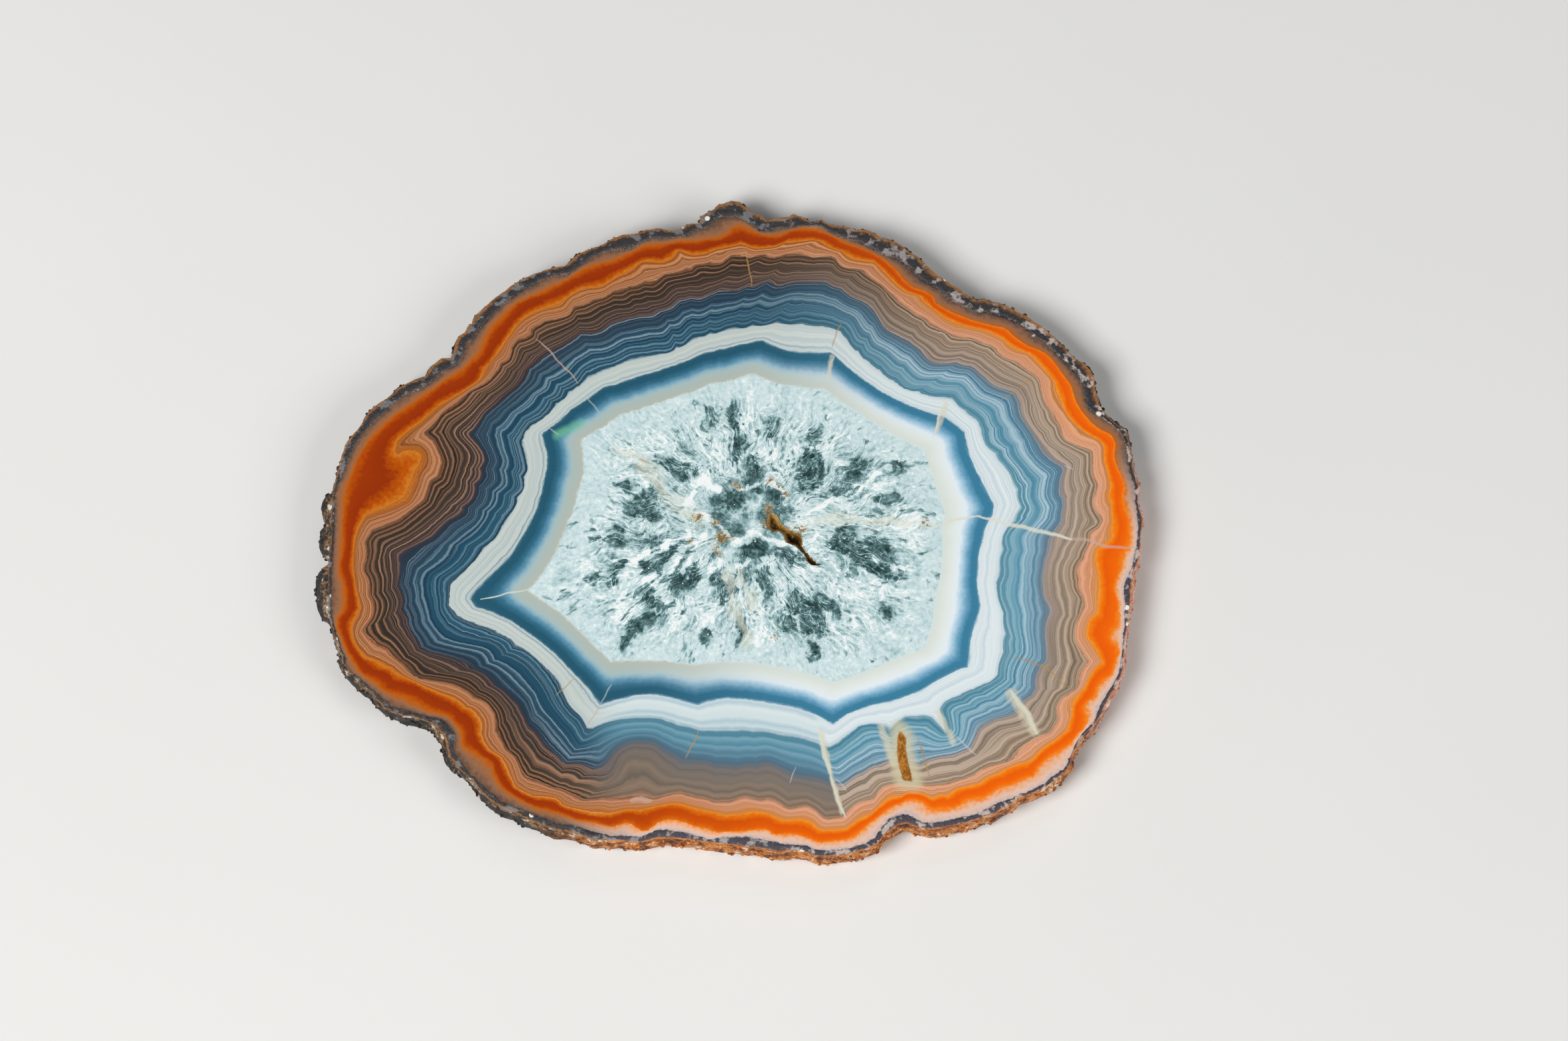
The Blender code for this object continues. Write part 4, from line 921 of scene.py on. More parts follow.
def outward_ways(edge):
    """The level direction straight out of the edge at each of its points, evened over a few neighbours."""
    along = np.roll(edge, -1, axis=0) - np.roll(edge, 1, axis=0)
    out = np.stack([-along[:, 1], along[:, 0]], axis=-1)
    out /= np.linalg.norm(out, axis=1)[:, None]
    out = sum(np.roll(out, shift, axis=0) for shift in (-2, -1, 0, 1, 2))
    return out / np.linalg.norm(out, axis=1)[:, None]


def lip_drops(places, from_edge, level):
    """How far a polished face drops at its chipped lip, in millimetres."""
    near = np.clip(1.0 - from_edge / LIP_WIDTH_MM, 0.0, 1.0)
    drops = np.zeros(len(places))
    for index in np.nonzero(near > 0.0)[0]:
        x, y = places[index]
        rough = LIP_MEAN + LIP_UNEVENNESS * noise.noise(Vector((x, y, level)) / LIP_CHIP_MM)
        drops[index] = LIP_DEPTH_MM * near[index] ** LIP_CURVE * max(LIP_LEAST, rough)
    return drops


def vug_depth(places):
    """How deep the vug is at each place, in millimetres: steep walls with small quartz points on them."""
    inside = depth_inside(places, VUG_MOUTH_MM)
    depth = np.zeros(len(places))
    for index in np.nonzero(inside > VUG_START_MM)[0]:
        x, y = places[index]
        wall = min(VUG_DEPTH_MM, VUG_BRINK_MM + VUG_SLOPE * inside[index])
        near, other = noise.voronoi(Vector((x, y, 0.0)) / QUARTZ_POINT_MM)[0][:2]
        point = QUARTZ_POINT_HEIGHT * min(1.0, QUARTZ_POINT_STEEPNESS * (other - near))
        depth[index] = max(VUG_LEAST_MM, wall * (1.0 - point))
    return depth


def wall_faces(rings):
    """Faces with four corners between each ring of points and the next."""
    return np.concatenate([np.column_stack([above, np.roll(above, -1), np.roll(below, -1), below])
                           for above, below in zip(rings[:-1], rings[1:])])


def turned_up(points, faces, way):
    """The triangles with their corners in the order that makes them face up, or down."""
    first, second, third = (points[faces[:, corner]] for corner in range(3))
    facing = np.cross(second[:, :2] - first[:, :2], third[:, :2] - first[:, :2]) * way
    return np.where((facing > 0.0)[:, None], faces, faces[:, ::-1])


def mesh_in_metres(name, points, faces):
    """A mesh of points given in millimetres from the outlines' own middle."""
    mesh = bpy.data.meshes.new(name)
    mesh.from_pydata(((points + np.array([*CENTRE_SHIFT_MM, 0.0])) * MM).tolist(), [], faces)
    return mesh


def keep_attribute(mesh, name, values):
    """Store one number for each point of the mesh."""
    mesh.attributes.new(name, "FLOAT", "POINT").data.foreach_set("value", np.asarray(values, np.float32))


def keep_crust_sectors(mesh, places):
    """Store where the crust is rusty and where it is salmon."""
    for name, limits in CRUST_SECTORS.items():
        keep_attribute(mesh, name, sector(places, *limits))


def keep_layers(mesh, flat, seams, band, vug):
    """Store what each point of the stone is made of."""
    keep_attribute(mesh, "band", band)
    # painted light and haze: lighter towards the lower right
    keep_attribute(mesh, "haze_and_painted_light", haze_and_painted_light_to_the_right(flat))
    keep_attribute(mesh, "smooth", soft_stretch(flat))
    keep_attribute(mesh, "calm", calm_stretch(flat))
    for name, lines in seams.items():
        keep_attribute(mesh, name, gap_to_seams(flat, lines, SEAM_TAPER))
    keep_attribute(mesh, "halo", gap_to_seams(flat, HAZES_MM))
    keep_attribute(mesh, "iris", gap_to_seams(flat, PAINTED_GREEN_GLINT_MM))
    keep_attribute(mesh, "pocket", depth_inside(flat, GOLD_POCKET_MM))
    in_heart = np.nonzero(band > HEART_LAYER - HEART_MARGIN)[0]
    swayed = wandered(flat[in_heart], HEART_SWAYS_MM)
    for name, values, elsewhere in (
            ("window", window_value(swayed), 0.0),
            ("stain", stain_value(swayed), 0.0),
            ("ridge", gap_to_seams(swayed, HEART_RIDGES_MM), SEAM_REACH),
            ("veil", gap_to_seams(swayed, HEART_VEILS_MM), SEAM_REACH)):
        spread = np.full(len(flat), elsewhere)
        spread[in_heart] = values
        keep_attribute(mesh, name, spread)
    # front and right: rustier crust, partly painted light, with more painted glints
    keep_attribute(mesh, "front_rust_and_painted_light", sector(flat, *FRONT_RUST_AND_PAINTED_LIGHT_SECTOR))
    keep_crust_sectors(mesh, flat)
    keep_attribute(mesh, "vug", vug)


def lay_bake_map(mesh, flat_face_count, ring_count):
    """Lay both faces flat on the map and the rim in strips below them."""
    corners = np.zeros(len(mesh.loops), np.int32)
    mesh.loops.foreach_get("vertex_index", corners)
    places = np.zeros(len(mesh.vertices) * 3, np.float32)
    mesh.vertices.foreach_get("co", places)
    places = places.reshape(-1, 3) / MM
    across = (places[corners, 0] + MAP_WIDTH_MM / 2) / MAP_WIDTH_MM
    up = (places[corners, 1] + MAP_HALF_DEPTH_MM) / MAP_WIDTH_MM + STRIP_ROOM
    flat = flat_face_count * 3
    face = np.arange((len(corners) - flat) // 4)
    column = face % ring_count
    row = face // ring_count
    per_strip = ceil(ring_count / RIM_STRIPS)
    strip = column // per_strip
    left = (column - strip * per_strip) / per_strip
    right = left + 1.0 / per_strip
    strip_height = STRIP_ROOM / RIM_STRIPS
    high = strip * strip_height + strip_height * (STRIP_TOP - STRIP_FILL * row / (RIM_ROWS + 1))
    low = high - STRIP_FILL * strip_height / (RIM_ROWS + 1)
    across[flat:] = np.stack([left, right, right, left], axis=-1).ravel()
    up[flat:] = np.stack([high, high, low, low], axis=-1).ravel()
    layer = mesh.uv_layers.new(name="OFBake")
    layer.data.foreach_set("uv", np.stack([across, up], axis=-1).ravel())


def build_stone():
    """The whole slice as one closed mesh, with what each place is made of kept as attributes."""
    edge = chipped_edge(BACK_EDGE_MM + FRONT_EDGE_MM, EDGE_STEP_MM)
    mouth = stepped_line(list(VUG_MOUTH_MM) + [VUG_MOUTH_MM[0]], VUG_GRAIN_MM)
    seams = {name: swayed_seams(lines) for name, lines in SEAMS.items()}

    banded = lattice_inside(edge, BAND_GRAIN_MM, EDGE_ROOM * BAND_GRAIN_MM)
    banded = banded[depth_inside(banded, OUTLINES[-1]) < 0.0]
    heart = lattice_inside(OUTLINES[-1], HEART_GRAIN_MM, 0.0)
    heart = heart[depth_inside(heart, VUG_MOUTH_MM) < -MOUTH_ROOM_OUTSIDE_MM]
    hollow = lattice(*VUG_BOX_MM, VUG_GRAIN_MM)
    hollow = hollow[depth_inside(hollow, VUG_MOUTH_MM) > MOUTH_ROOM_INSIDE_MM]
    seam_lines = [line for lines in seams.values() for _, line in lines]
    top, top_faces, top_ring = triangulated(
        edge, seam_lines + [mouth], np.concatenate([banded, heart, hollow]))
    under = lattice_inside(edge, UNDERSIDE_GRAIN_MM, EDGE_ROOM * UNDERSIDE_GRAIN_MM)
    base, base_faces, base_ring = triangulated(edge, [], under)

    flat_points = len(top) + len(base)
    band, from_edge = band_value(np.concatenate([top, base]))
    vug = vug_depth(top)
    top_z = THICKNESS_MM - lip_drops(top, from_edge[: len(top)], UPPER_LIP_LEVEL) - vug
    base_z = lip_drops(base, from_edge[len(top) :], LOWER_LIP_LEVEL)

    points = [np.column_stack([top, top_z]), np.column_stack([base, base_z])]
    rings = [top_ring]
    first = flat_points
    out = outward_ways(edge)
    upper, lower = top_z[top_ring], base_z[base_ring]
    for row in range(1, RIM_ROWS + 1):
        share = 1.0 - row / (RIM_ROWS + 1)
        stand = np.array([rim_height(x, y, share) for x, y in edge])
        points.append(np.column_stack([edge + out * stand[:, None], lower + (upper - lower) * share]))
        rings.append(np.arange(first, first + len(edge)))
        first += len(edge)
    rings.append(base_ring + len(top))
    points = np.concatenate(points)

    faces = turned_up(points, top_faces, 1.0).tolist()
    faces += turned_up(points, base_faces + len(top), -1.0).tolist()
    faces += wall_faces(rings).tolist()
    mesh = mesh_in_metres("agate_slice_stone", points, faces)
    band = np.concatenate([band, np.zeros(len(points) - flat_points)])
    deep = np.concatenate([vug, np.zeros(len(points) - len(top))])
    keep_layers(mesh, points[:, :2], seams, band, deep)

    flat_faces = len(top_faces) + len(base_faces)
    finishes = np.zeros(len(faces), int)
    finishes[flat_faces:] = RIND_SLOT
    finishes[: len(top_faces)][vug[top_faces].min(axis=1) > VUG_FINISH_DEPTH_MM] = VUG_SLOT
    mesh.polygons.foreach_set("material_index", finishes)
    lay_bake_map(mesh, flat_faces, len(edge))
    mesh.polygons.foreach_set("use_smooth", np.ones(len(faces), bool))
    mesh.set_sharp_from_angle(angle=SHARP_ANGLE)
    return mesh, points, rings


class Finish:
    """A material whose nodes are added one after another, so that its recipe reads as plain steps."""

    def __init__(self, name):
        self.material = bpy.data.materials.new(name)
        self.material.use_nodes = True
        self.tree = self.material.node_tree
        self.shader = self.tree.nodes["Principled BSDF"]
        place = self.add("ShaderNodeTexCoord").outputs["Object"]
        self.place = self.along("SCALE", place, scale=1.0 / MM)

    def add(self, kind, **settings):
        node = self.tree.nodes.new(kind)
        for name, value in settings.items():
            setattr(node, name, value)
        return node

    def feed(self, socket, value):
        """Join a socket to another one, or give it a plain value."""
        if isinstance(value, bpy.types.NodeSocket):
            self.tree.links.new(value, socket)
        else:
            socket.default_value = value

    def reckon(self, operation, first, second=0.0, third=0.0, clamp=False):
        node = self.add("ShaderNodeMath", operation=operation, use_clamp=clamp)
        for socket, value in zip(node.inputs, (first, second, third)):
            self.feed(socket, value)
        return node.outputs[0]

    def times(self, first, second):
        return self.reckon("MULTIPLY", first, second)

    def plus(self, first, second, weight=1.0):
        """The first value and some of the second."""
        return self.reckon("MULTIPLY_ADD", second, weight, first)

    def between(self, first, second, share):
        """From the first value to the second as the share goes from 0 to 1."""
        rest = self.reckon("SUBTRACT", 1.0, share)
        return self.plus(self.times(first, rest), self.times(second, share))

    def swung(self, value, *textures):
        """A value with some of each 0-to-1 texture on it, which leaves its mean as it is."""
        for texture, weight in textures:
            value = self.plus(value, self.reckon("SUBTRACT", texture, 0.5), weight)
        return value

    def off_middle(self, texture):
        """How far a 0-to-1 texture is from its middle, so that its contour there is a thin line."""
        return self.reckon("ABSOLUTE", self.reckon("SUBTRACT", texture, 0.5))

    def along(self, operation, first, second=None, scale=None):
        node = self.add("ShaderNodeVectorMath", operation=operation)
        self.feed(node.inputs[0], first)
        if second is not None:
            self.feed(node.inputs[1], second)
        if scale is not None:
            self.feed(node.inputs["Scale"], scale)
        return node.outputs["Value" if operation in ("LENGTH", "DOT_PRODUCT") else "Vector"]

    def fade(self, value, low, high):
        """0 at low, 1 at high and a soft slope between. A low above the high turns it round."""
        node = self.add("ShaderNodeMapRange", interpolation_type="SMOOTHSTEP")
        for socket, number in (("Value", value), ("From Min", low), ("From Max", high)):
            self.feed(node.inputs[socket], number)
        return node.outputs["Result"]

    def mixed(self, share, first, second):
        """From the first colour to the second. A plain colour is given as seen on a screen."""
        node = self.add("ShaderNodeMix", data_type="RGBA")
        for socket, value in ((0, share), (6, first), (7, second)):
            self.feed(node.inputs[socket], colour(*value) if isinstance(value, tuple) else value)
        return node.outputs[2]

    def tinted(self, shade, share, tint, strength):
        """A shade with some tint laid over it where the share is high."""
        return self.mixed(self.times(share, strength), shade, tint)

    def layered(self, value, stops):
        """The colour that a value has on a ramp."""
        node = self.add("ShaderNodeValToRGB")
        elements = node.color_ramp.elements
        elements[0].position = stops[0][0]
        elements[1].position = stops[-1][0]
        for position, _ in stops[1:-1]:
            elements.new(position)
        for element, (_, shade) in zip(elements, stops):
            element.color = colour(*shade)
        self.feed(node.inputs[0], value)
        return node.outputs[0]

    def stored(self, name):
        return self.add("ShaderNodeAttribute", attribute_name=name).outputs["Fac"]

    def texture(self, kind, size, place, **numbers):
        node = self.add(kind)
        self.feed(node.inputs["Vector"], place or self.place)
        node.inputs["Scale"].default_value = 1.0 / size
        for name, value in numbers.items():
            node.inputs[name].default_value = value
        return node

    def speckle(self, size, detail=2.0, roughness=0.5, place=None):
        """Smooth noise from 0 to 1."""
        node = self.texture("ShaderNodeTexNoise", size, place, Detail=detail, Roughness=roughness)
        return node.outputs["Fac"]

    def drifted(self, place, size, reach):
        """Places moved about by smooth noise."""
        node = self.texture("ShaderNodeTexNoise", size, place, Detail=1.0)
        shift = self.along("SUBTRACT", node.outputs["Color"], (0.5, 0.5, 0.5))
        return self.along("ADD", place, self.along("SCALE", shift, scale=reach))

    def crumbs(self, size, place=None):
        """Cells: how far from each cell's middle, and a number of the cell's own."""
        cells = self.texture("ShaderNodeTexVoronoi", size, place).outputs
        return cells["Distance"], self.along("DOT_PRODUCT", cells["Color"], SIDEWAYS)

    def glints(self, size, spread, chosen, liking=None, place=None):
        """Small painted glints: how far each spreads, which numbers are chosen and where more of them are."""
        from_middle, own_number = self.crumbs(size, place)
        if liking:
            own_number = self.plus(own_number, *liking)
        return self.times(self.fade(from_middle, *spread), self.fade(own_number, *chosen))

    def raised(self, height, strength, distance_mm):
        node = self.add("ShaderNodeBump")
        self.feed(node.inputs["Height"], height)
        node.inputs["Strength"].default_value = strength
        node.inputs["Distance"].default_value = distance_mm * MM
        return node.outputs["Normal"]

    def made(self, **inputs):
        """The material, with what the shader is given."""
        for name, value in inputs.items():
            self.feed(self.shader.inputs[name.replace("_", " ")], value)
        return self.material


def banded_colour(finish, band, haze_and_painted_light):
    """The colour of every layer outside the quartz heart."""
    smooth = finish.stored("smooth")
    crisp = finish.plus(1.0, finish.stored("calm"), -0.65)
    front_rust_and_painted_light = finish.stored("front_rust_and_painted_light")
    way = finish.along("NORMALIZE", finish.along("MULTIPLY", finish.place, IN_PLAN))
    height = finish.add("ShaderNodeCombineXYZ")
    finish.feed(height.inputs[2], finish.times(band, SCALLOP_CHANGE))
    around = finish.along("ADD", finish.along("SCALE", way, scale=SCALLOPS_PER_TURN), height.outputs[0])
    lobed = finish.off_middle(finish.speckle(1.0, 0.0, place=around))
    from_lobe = finish.along("LENGTH", finish.along("SUBTRACT", finish.place, (*LOBE_MM, THICKNESS_MM)))
    calmed = finish.times(finish.fade(from_lobe, *LOBE_REACH_MM), finish.plus(1.0, smooth, -0.45))
    bow = finish.times(lobed, calmed)
    ripple = finish.speckle(0.45, 3.0, 0.6)
    shade = None
    for layer, (left_stops, right_stops, smooth_stops, scallop, grain) in enumerate(LAYERS):
        own = finish.swung(finish.plus(band, bow, -scallop), (ripple, grain))
        evened = finish.reckon("ADD", own, SCALLOP_MEAN * scallop)
        share = finish.reckon("SUBTRACT", evened, float(layer), clamp=True)
        # the colours at the right are lighter partly by painted light from the lower right
        light = front_rust_and_painted_light if layer in CRUST_LAYERS else haze_and_painted_light
        look = finish.mixed(light, finish.layered(share, left_stops), finish.layered(share, right_stops))
        if layer in FINE_LINES:
            look = with_fine_lines(finish, look, own, haze_and_painted_light, crisp, FINE_LINES[layer])
        if smooth_stops:
            look = finish.tinted(look, smooth, finish.layered(share, smooth_stops), 0.85)
        if shade is None:
            shade = look
        else:
            edge = finish.plus(band, finish.plus(bow, -SCALLOP_MEAN), -SCALLOPED_EDGES.get(layer, 0.0))
            over = finish.fade(edge, layer - LAYER_EDGE, layer + LAYER_EDGE)
            shade = finish.mixed(over, shade, look)
    return shade


def with_fine_lines(finish, look, band, haze_and_painted_light, crisp, shades):
    """Fine pale and dark lines that follow a layer and drift slowly round the stone."""
    pale_left, dark_left, pale_right, dark_right = shades
    # the lines turn lighter to the right partly by painted light
    pale = finish.mixed(haze_and_painted_light, pale_left, pale_right)
    dark = finish.mixed(haze_and_painted_light, dark_left, dark_right)
    drift = finish.along("SCALE", finish.place, scale=LINE_DRIFT)
    stack = finish.add("ShaderNodeCombineXYZ")
    finish.feed(stack.inputs[0], band)
    for lines_per_layer, strength in LINE_SETS:
        stretched = finish.along("SCALE", stack.outputs[0], scale=lines_per_layer)
        lines = finish.speckle(1.0, 1.0, place=finish.along("ADD", stretched, drift))
        share = finish.times(crisp, strength)
        look = finish.tinted(look, finish.fade(lines, 0.58, 0.7), pale, share)
        look = finish.tinted(look, finish.fade(lines, 0.45, 0.34), dark, share)
    return look


def quartz_colour(finish, band):
    """Cloudy radiating quartz: clear grains, painted dark for the shade seen through them, between white
    fibres, with ridges, veils and iron stains.
    """
    out = finish.along("SUBTRACT", finish.place, (*HEART_MIDDLE_MM, 0.0))
    flat = finish.along("MULTIPLY", out, IN_PLAN)
    for size, reach in HEART_DRIFTS_MM:
        flat = finish.drifted(flat, size, reach)
    way = finish.along("NORMALIZE", flat)

    def drawn_out(turns, length):
        """Places squeezed along the way out from the middle, so that a texture on them grows in rays."""
        turned = finish.along("SCALE", way, scale=turns)
        return finish.along("ADD", turned, finish.along("SCALE", flat, scale=length))

    rays = finish.speckle(1.0, 3.0, 0.55, place=drawn_out(6.0, 0.16))
    feathers = finish.speckle(1.0, 3.0, 0.6, place=drawn_out(13.0, 0.3))
    fibres = finish.speckle(1.0, 2.0, 0.6, place=drawn_out(30.0, 0.8))
    threads = finish.speckle(1.0, 2.0, 0.5, place=drawn_out(8.0, 0.2))
    web = finish.speckle(1.1, 3.0, 0.6)
    cloud = finish.speckle(2.2, 3.0, 0.6)
    mottle = finish.speckle(0.4, 2.0, 0.6)
    _, grain_tone = finish.crumbs(1.0, drawn_out(5.0, 0.3))

    inwards = finish.times(finish.reckon("SUBTRACT", band, float(HEART_LAYER)), HEART_DEPTH_UNIT_MM)
    core = finish.fade(finish.swung(inwards, (cloud, 5.0)), 0.4, 4.6)
    frost = finish.swung(0.8, (mottle, 0.5), (fibres, 0.4), (feathers, 0.5))
    white = finish.swung(0.75, (cloud, 0.9), (rays, 1.1), (feathers, 1.5), (fibres, 0.8), (mottle, 0.7))
    white = finish.between(frost, white, core)

    # painted shade: the clear windows are painted dark, for the shade under the slice seen through them
    clear = finish.plus(finish.stored("window"), core, 0.12)
    clear = finish.swung(clear, (grain_tone, 0.25), (rays, 0.8), (feathers, 1.7), (web, 1.0), (fibres, 0.8))
    dark = finish.swung(0.2, (mottle, 0.6), (fibres, 0.6), (web, 0.8), (grain_tone, 0.12))
    white = finish.between(white, dark, finish.fade(clear, 0.14, 0.62))

    for texture, line_width, strength in ((threads, 0.028, 0.3), (web, 0.02, 0.16), (feathers, 0.024, 0.2)):
        line = finish.fade(finish.off_middle(texture), line_width, 0.0)
        white = finish.plus(white, finish.times(line, core), strength)
    lump_middle, lump_tone = finish.crumbs(2.3, finish.drifted(finish.place, 0.8, 0.9))
    lumps = finish.plus(finish.plus(0.14, lump_tone, 0.24), finish.fade(lump_middle, 0.48, 0.86), 0.5)
    lumps = finish.swung(lumps, (mottle, 0.7), (feathers, 0.7))
    centre = finish.fade(finish.swung(finish.along("LENGTH", flat), (web, 5.0)), 5.2, 3.0)
    white = finish.between(white, lumps, centre)
    ridge = finish.swung(finish.stored("ridge"), (web, 4.5), (mottle, 3.0), (feathers, 4.0))
    white = finish.plus(white, finish.fade(ridge, 1.5, 0.3), 0.55)
    shade = finish.layered(white, QUARTZ_STOPS)

    veil = finish.swung(finish.stored("veil"), (cloud, 3.0), (feathers, 5.0))
    shade = finish.tinted(shade, finish.fade(veil, 1.9, 0.3), VEIL_CREAM, 0.5)
    rust = finish.times(finish.fade(veil, 0.3, 0.0), finish.fade(web, 0.56, 0.64))
    shade = finish.tinted(shade, rust, VEIL_RUST, 0.5)
    stain = finish.stored("stain")
    shade = finish.tinted(shade, finish.fade(stain, 0.1, 0.7), STAIN_HALO, 0.45)
    flecks = finish.fade(finish.swung(stain, (mottle, 2.2), (fibres, 2.0)), 0.45, 0.7)
    return finish.tinted(shade, finish.times(flecks, finish.fade(stain, 0.05, 0.3)), STAIN_BROWN, 0.85)


def with_seams(finish, shade, grains):
    """The seams across the bands, the cream hazes round some of them, the gold pocket and the painted green
    glint.
    """
    for name, seam_colour, strength in SEAM_FINISHES:
        gap = finish.swung(finish.stored(name), (grains, 1.2))
        shade = finish.tinted(shade, finish.fade(gap, 1.4, 0.4), seam_colour, strength)
    halo = finish.fade(finish.swung(finish.stored("halo"), (finish.speckle(0.6), 1.0)), 1.0, 0.2)
    shade = finish.tinted(shade, halo, HAZE_CREAM, 0.62)
    pocket = finish.swung(finish.stored("pocket"), (grains, 0.5))
    shade = finish.tinted(shade, finish.fade(pocket, -1.3, -0.15), POCKET_HALO, 0.75)
    gold = finish.mixed(finish.fade(grains, 0.42, 0.6), *POCKET_GOLDS)
    shade = finish.mixed(finish.fade(pocket, -0.02, 0.12), shade, gold)
    # painted iridescent sheen: a soft green glint in the blue layer
    green = finish.fade(finish.swung(finish.stored("iris"), (finish.speckle(1.2), 0.8)), 1.1, 0.0)
    return finish.tinted(shade, green, PAINTED_GLINT_GREEN, 0.6)


def polished_agate():
    """The sawn and polished faces: every band, the quartz heart, the seams and the crust in the lip."""
    finish = Finish("polished_agate")
    band = finish.stored("band")
    haze_and_painted_light = finish.stored("haze_and_painted_light")
    shade = banded_colour(finish, band, haze_and_painted_light)
    heart_shade = quartz_colour(finish, band)
    shade = finish.mixed(finish.fade(band, HEART_LAYER - 0.02, HEART_LAYER + 0.01), shade, heart_shade)
    grains = finish.speckle(0.35, 3.0, 0.7)
    shade = with_seams(finish, shade, grains)

    crust = finish.fade(finish.swung(band, (grains, 0.9)), 1.0, 0.7)
    patches = finish.times(finish.fade(finish.speckle(1.3, 3.0, 0.6), 0.52, 0.62), crust)
    # the silver patches turn lighter to the right partly by painted light
    shade = finish.tinted(shade, patches, finish.mixed(haze_and_painted_light, *CRUST_SILVERS), 0.75)
    front_rust_and_painted_light = finish.stored("front_rust_and_painted_light")
    # the gold edge turns rusty at the front and right, partly its own rust and partly painted light
    golden = finish.mixed(front_rust_and_painted_light, CRUST_GOLD, finish.mixed(finish.fade(grains, 0.4, 0.6), *CRUST_RUSTS))
    outer = finish.fade(finish.swung(band, (grains, 1.2)), 0.22, 0.04)
    shade = finish.tinted(shade, outer, golden, 0.85)
    # painted glints: white highlights in the crust of the lip, more of them at the front and right
    glint = finish.glints(0.8, (0.36, 0.26), (0.9, 0.92), (finish.times(front_rust_and_painted_light, outer), 0.14))
    shade = finish.mixed(finish.times(glint, crust), shade, PAINTED_LIP_GLINT)
    # painted sparks: small white highlights over the quartz heart
    spark = finish.glints(0.42, (0.26, 0.1), (0.84, 0.88))
    spark = finish.times(spark, finish.fade(band, HEART_LAYER, HEART_LAYER + 0.1))
    shade = finish.tinted(shade, spark, PAINTED_HEART_SPARK, 0.8)
    return finish.made(
        Base_Color=shade, Roughness=finish.plus(0.12, crust, 0.4), IOR=QUARTZ_IOR,
        Normal=finish.raised(finish.times(grains, crust), 0.7, 0.18), Coat_Weight=0.15, Coat_Roughness=0.03)


def crust_colour(finish, tone):
    """Crust: dark with a gold upper edge at the left and back, where shade is painted darker low down on the
    wall; rusty along the front, salmon at the right.
    """
    height = finish.along("DOT_PRODUCT", finish.place, UPWARDS)
    # painted shade: the dark crust is darker low down on the wall
    painted_shade_low_down = finish.fade(height, THICKNESS_MM * 0.95, THICKNESS_MM * 0.6)
    shade = finish.layered(finish.plus(tone, painted_shade_low_down, -0.3), DARK_CRUST_STOPS)
    for name, stops in (("rusty", RUSTY_CRUST_STOPS), ("salmon", SALMON_CRUST_STOPS)):
        shade = finish.mixed(finish.stored(name), shade, finish.layered(tone, stops))
    return shade


def natural_rind():
    """The rough rim: gritty crust with gold crumbs and a few painted glints off its crystal faces."""
    finish = Finish("natural_rind")
    broad = finish.speckle(1.3, 3.0, 0.6)
    fine = finish.speckle(0.3, 4.0, 0.7)
    shade = crust_colour(finish, finish.swung(0.5, (broad, 2.0), (fine, 1.6)))
    # painted glints: white highlights off crystal faces on the rim
    liking = (finish.fade(broad, 0.4, 0.62), 0.25)
    glint = finish.glints(0.9, (0.5, 0.2), (0.96, 1.02), liking, finish.drifted(finish.place, 0.4, 1.0))
    return finish.made(
        Base_Color=finish.tinted(shade, glint, PAINTED_RIND_GLINT, 0.85), Roughness=finish.plus(0.7, glint, -0.5),
        Normal=finish.raised(fine, 0.8, 0.2), IOR=QUARTZ_IOR)


def stained_vug():
    """Iron-stained quartz inside the vug, with shade painted darker the deeper it lies and towards its narrow
    end.
    """
    finish = Finish("stained_vug")
    grain = finish.speckle(0.3, 3.0, 0.6)
    sideways = finish.along("DOT_PRODUCT", finish.place, SIDEWAYS)
    # painted shade: darker deeper in the vug and towards its narrow end
    deep = finish.plus(finish.stored("vug"), finish.reckon("SUBTRACT", sideways, VUG_MIDDLE_MM), 0.18)
    shade = finish.layered(finish.fade(finish.swung(deep, (grain, 1.4)), 0.1, 1.5), VUG_STAIN_AND_SHADE_STOPS)
    return finish.made(Base_Color=shade, Roughness=finish.plus(0.2, grain, 0.3),
                       Normal=finish.raised(grain, 0.5, 0.1), IOR=QUARTZ_IOR)


def crystal_grains():
    """Small crystals set in the rind, most of them as stained as the crust round them, with the same painted
    shade low on the wall.
    """
    finish = Finish("crystal_grains")
    tone = finish.swung(0.46, (finish.speckle(0.9, 3.0, 0.6), 1.6), (finish.speckle(0.3, 2.0), 1.0))
    return finish.made(
        Base_Color=crust_colour(finish, tone), Roughness=finish.fade(tone, 1.1, 0.1), IOR=QUARTZ_IOR)


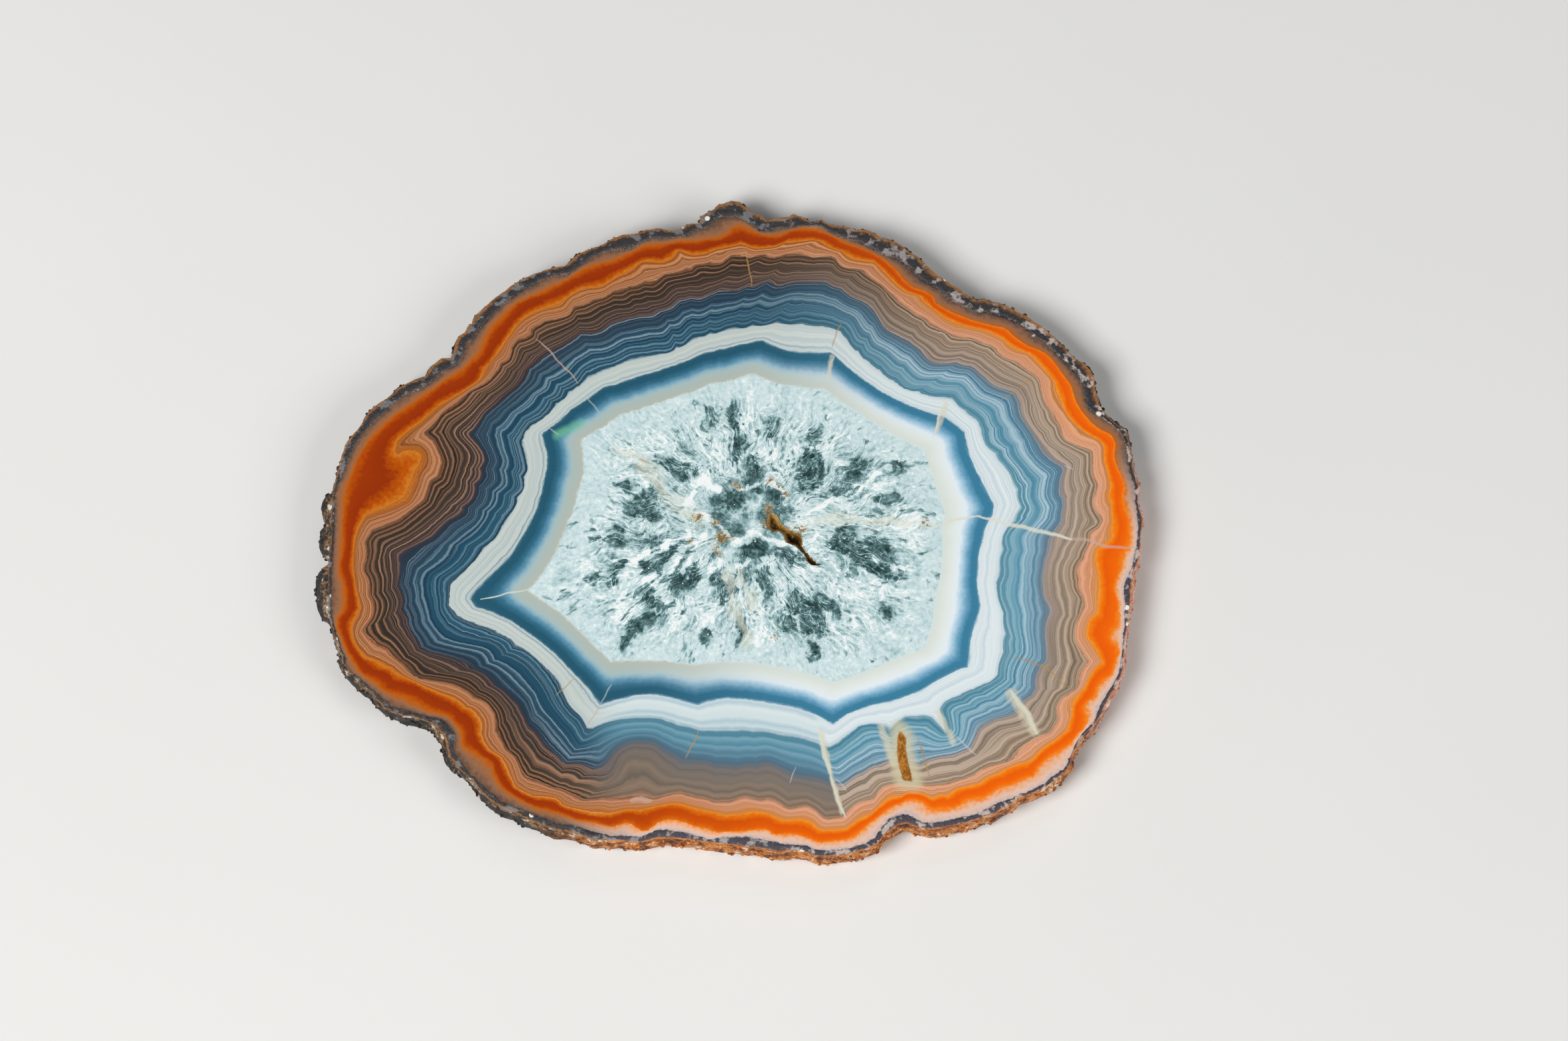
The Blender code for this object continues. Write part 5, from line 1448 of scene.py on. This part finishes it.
def scatter_tree(material):
    """Geometry nodes that strew small faceted crystals over a wall and make them real mesh."""
    tree = bpy.data.node_groups.new("strew_crystals", "GeometryNodeTree")
    sockets = {}
    for name, kind in (("Wall", "Geometry"), ("Crystals per square metre", "Float"), ("Smallest", "Float"),
                       ("Largest", "Float"), ("Seed", "Int")):
        socket = tree.interface.new_socket(name, in_out="INPUT", socket_type="NodeSocket" + kind)
        sockets[name] = socket.identifier
    tree.interface.new_socket("Crystals", in_out="OUTPUT", socket_type="NodeSocketGeometry")
    given = tree.nodes.new("NodeGroupInput").outputs
    strewn, crystal, size, turn, placed, real, dressed, result = (tree.nodes.new(kind) for kind in (
        "GeometryNodeDistributePointsOnFaces", "GeometryNodeMeshIcoSphere", "FunctionNodeRandomValue",
        "FunctionNodeRandomValue", "GeometryNodeInstanceOnPoints", "GeometryNodeRealizeInstances",
        "GeometryNodeSetMaterial", "NodeGroupOutput"))
    crystal.inputs["Radius"].default_value = 1.0
    crystal.inputs["Subdivisions"].default_value = 1
    size.data_type = "FLOAT"
    turn.data_type = "FLOAT_VECTOR"
    turn.inputs[1].default_value = (2 * pi, 2 * pi, 2 * pi)
    dressed.inputs["Material"].default_value = material
    for source, target in (
            (given["Wall"], strewn.inputs["Mesh"]),
            (given["Crystals per square metre"], strewn.inputs["Density"]),
            (given["Seed"], strewn.inputs["Seed"]),
            (given["Seed"], size.inputs["Seed"]),
            (given["Seed"], turn.inputs["Seed"]),
            (given["Smallest"], size.inputs[2]),
            (given["Largest"], size.inputs[3]),
            (strewn.outputs["Points"], placed.inputs["Points"]),
            (crystal.outputs["Mesh"], placed.inputs["Instance"]),
            (turn.outputs["Value"], placed.inputs["Rotation"]),
            (size.outputs[1], placed.inputs["Scale"]),
            (placed.outputs["Instances"], real.inputs["Geometry"]),
            (real.outputs["Geometry"], dressed.inputs["Geometry"]),
            (dressed.outputs["Geometry"], result.inputs["Crystals"])):
        tree.links.new(source, target)
    return tree, sockets


def put_in_scene(name, data):
    """An object of its own for a mesh, a lamp or a camera."""
    thing = bpy.data.objects.new(name, data)
    bpy.context.scene.collection.objects.link(thing)
    return thing


def strew_rim_crystals(points, rings):
    """Crystals on the rough wall, as one plain mesh."""
    first = rings[1][0]
    wall = mesh_in_metres("rim_wall", points[first:], (wall_faces(rings[1:-1]) - first).tolist())
    keep_crust_sectors(wall, points[first:, :2])
    carrier = put_in_scene("rim_wall", wall)
    tree, sockets = scatter_tree(crystal_grains())
    strew = carrier.modifiers.new("strew_crystals", "NODES")
    strew.node_group = tree
    for name, value in (("Crystals per square metre", CRYSTALS_PER_SQUARE_METRE),
                        ("Smallest", SMALLEST_CRYSTAL_MM * MM), ("Largest", LARGEST_CRYSTAL_MM * MM),
                        ("Seed", NOISE_SEED)):
        strew[sockets[name]] = value
    bpy.context.view_layer.update()
    grown = carrier.evaluated_get(bpy.context.evaluated_depsgraph_get())
    mesh = bpy.data.meshes.new_from_object(grown)
    mesh.name = "rim_crystals"
    bpy.data.objects.remove(carrier)
    return put_in_scene("rim_crystals", mesh)


def lay_floor():
    """A plain pale floor under the slice."""
    mesh = bpy.data.meshes.new("floor")
    corners = [(x * FLOOR_HALF_SIZE, y * FLOOR_HALF_SIZE, -FLOOR_DROP)
               for x, y in ((-1, -1), (1, -1), (1, 1), (-1, 1))]
    mesh.from_pydata(corners, [], [(0, 1, 2, 3)])
    finish = Finish("pale_floor")
    tone = finish.layered(finish.speckle(FLOOR_MOTTLE_MM, 2.0), FLOOR_STOPS)
    mesh.materials.append(finish.made(Base_Color=tone, Roughness=0.65))
    put_in_scene("floor", mesh)


def light_studio():
    """Soft square lamps that face the slice, and a dim even surround."""
    for name, place, size, power in LAMPS:
        lamp = bpy.data.lights.new(name, "AREA")
        lamp.shape = "SQUARE"
        lamp.size = size
        lamp.energy = power
        light = put_in_scene(name, lamp)
        light.location = place
        light.rotation_mode = "QUATERNION"
        light.rotation_quaternion = (-Vector(place)).to_track_quat("-Z", "Y")
    world = bpy.data.worlds.new("studio")
    world.use_nodes = True
    surround = world.node_tree.nodes["Background"]
    surround.inputs["Color"].default_value = SURROUND_TINT
    surround.inputs["Strength"].default_value = SURROUND_STRENGTH
    bpy.context.scene.world = world
    bpy.context.scene.view_settings.view_transform = "Standard"


def set_camera():
    """The camera stands where the photograph was taken from."""
    distance = LENS_MM / SENSOR_MM * IMAGE_WIDTH_PX / PIXELS_PER_MM * MM
    back = Vector((0.0, -sin(CAMERA_TILT), cos(CAMERA_TILT)))
    aim_x, aim_y = ((aim + shift) * MM for aim, shift in zip(AIM_MM, CENTRE_SHIFT_MM))
    lens = bpy.data.cameras.new("camera")
    lens.lens = LENS_MM
    lens.sensor_width = SENSOR_MM
    lens.clip_start = NEAREST_SEEN
    camera = put_in_scene("camera", lens)
    camera.location = Vector((aim_x, aim_y, THICKNESS_MM * MM)) + back * distance
    camera.rotation_euler = (CAMERA_TILT, 0.0, 0.0)
    bpy.context.scene.camera = camera


def main():
    noise.seed_set(NOISE_SEED)
    mesh, points, rings = build_stone()
    for finish in (polished_agate(), natural_rind(), stained_vug()):
        mesh.materials.append(finish)
    stone = put_in_scene("agate_slice_stone", mesh)
    crystals = strew_rim_crystals(points, rings)
    for piece in (stone, crystals):
        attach(piece, BODY)
        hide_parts("agate_slice")
    lay_floor()
    light_studio()
    set_camera()


main()
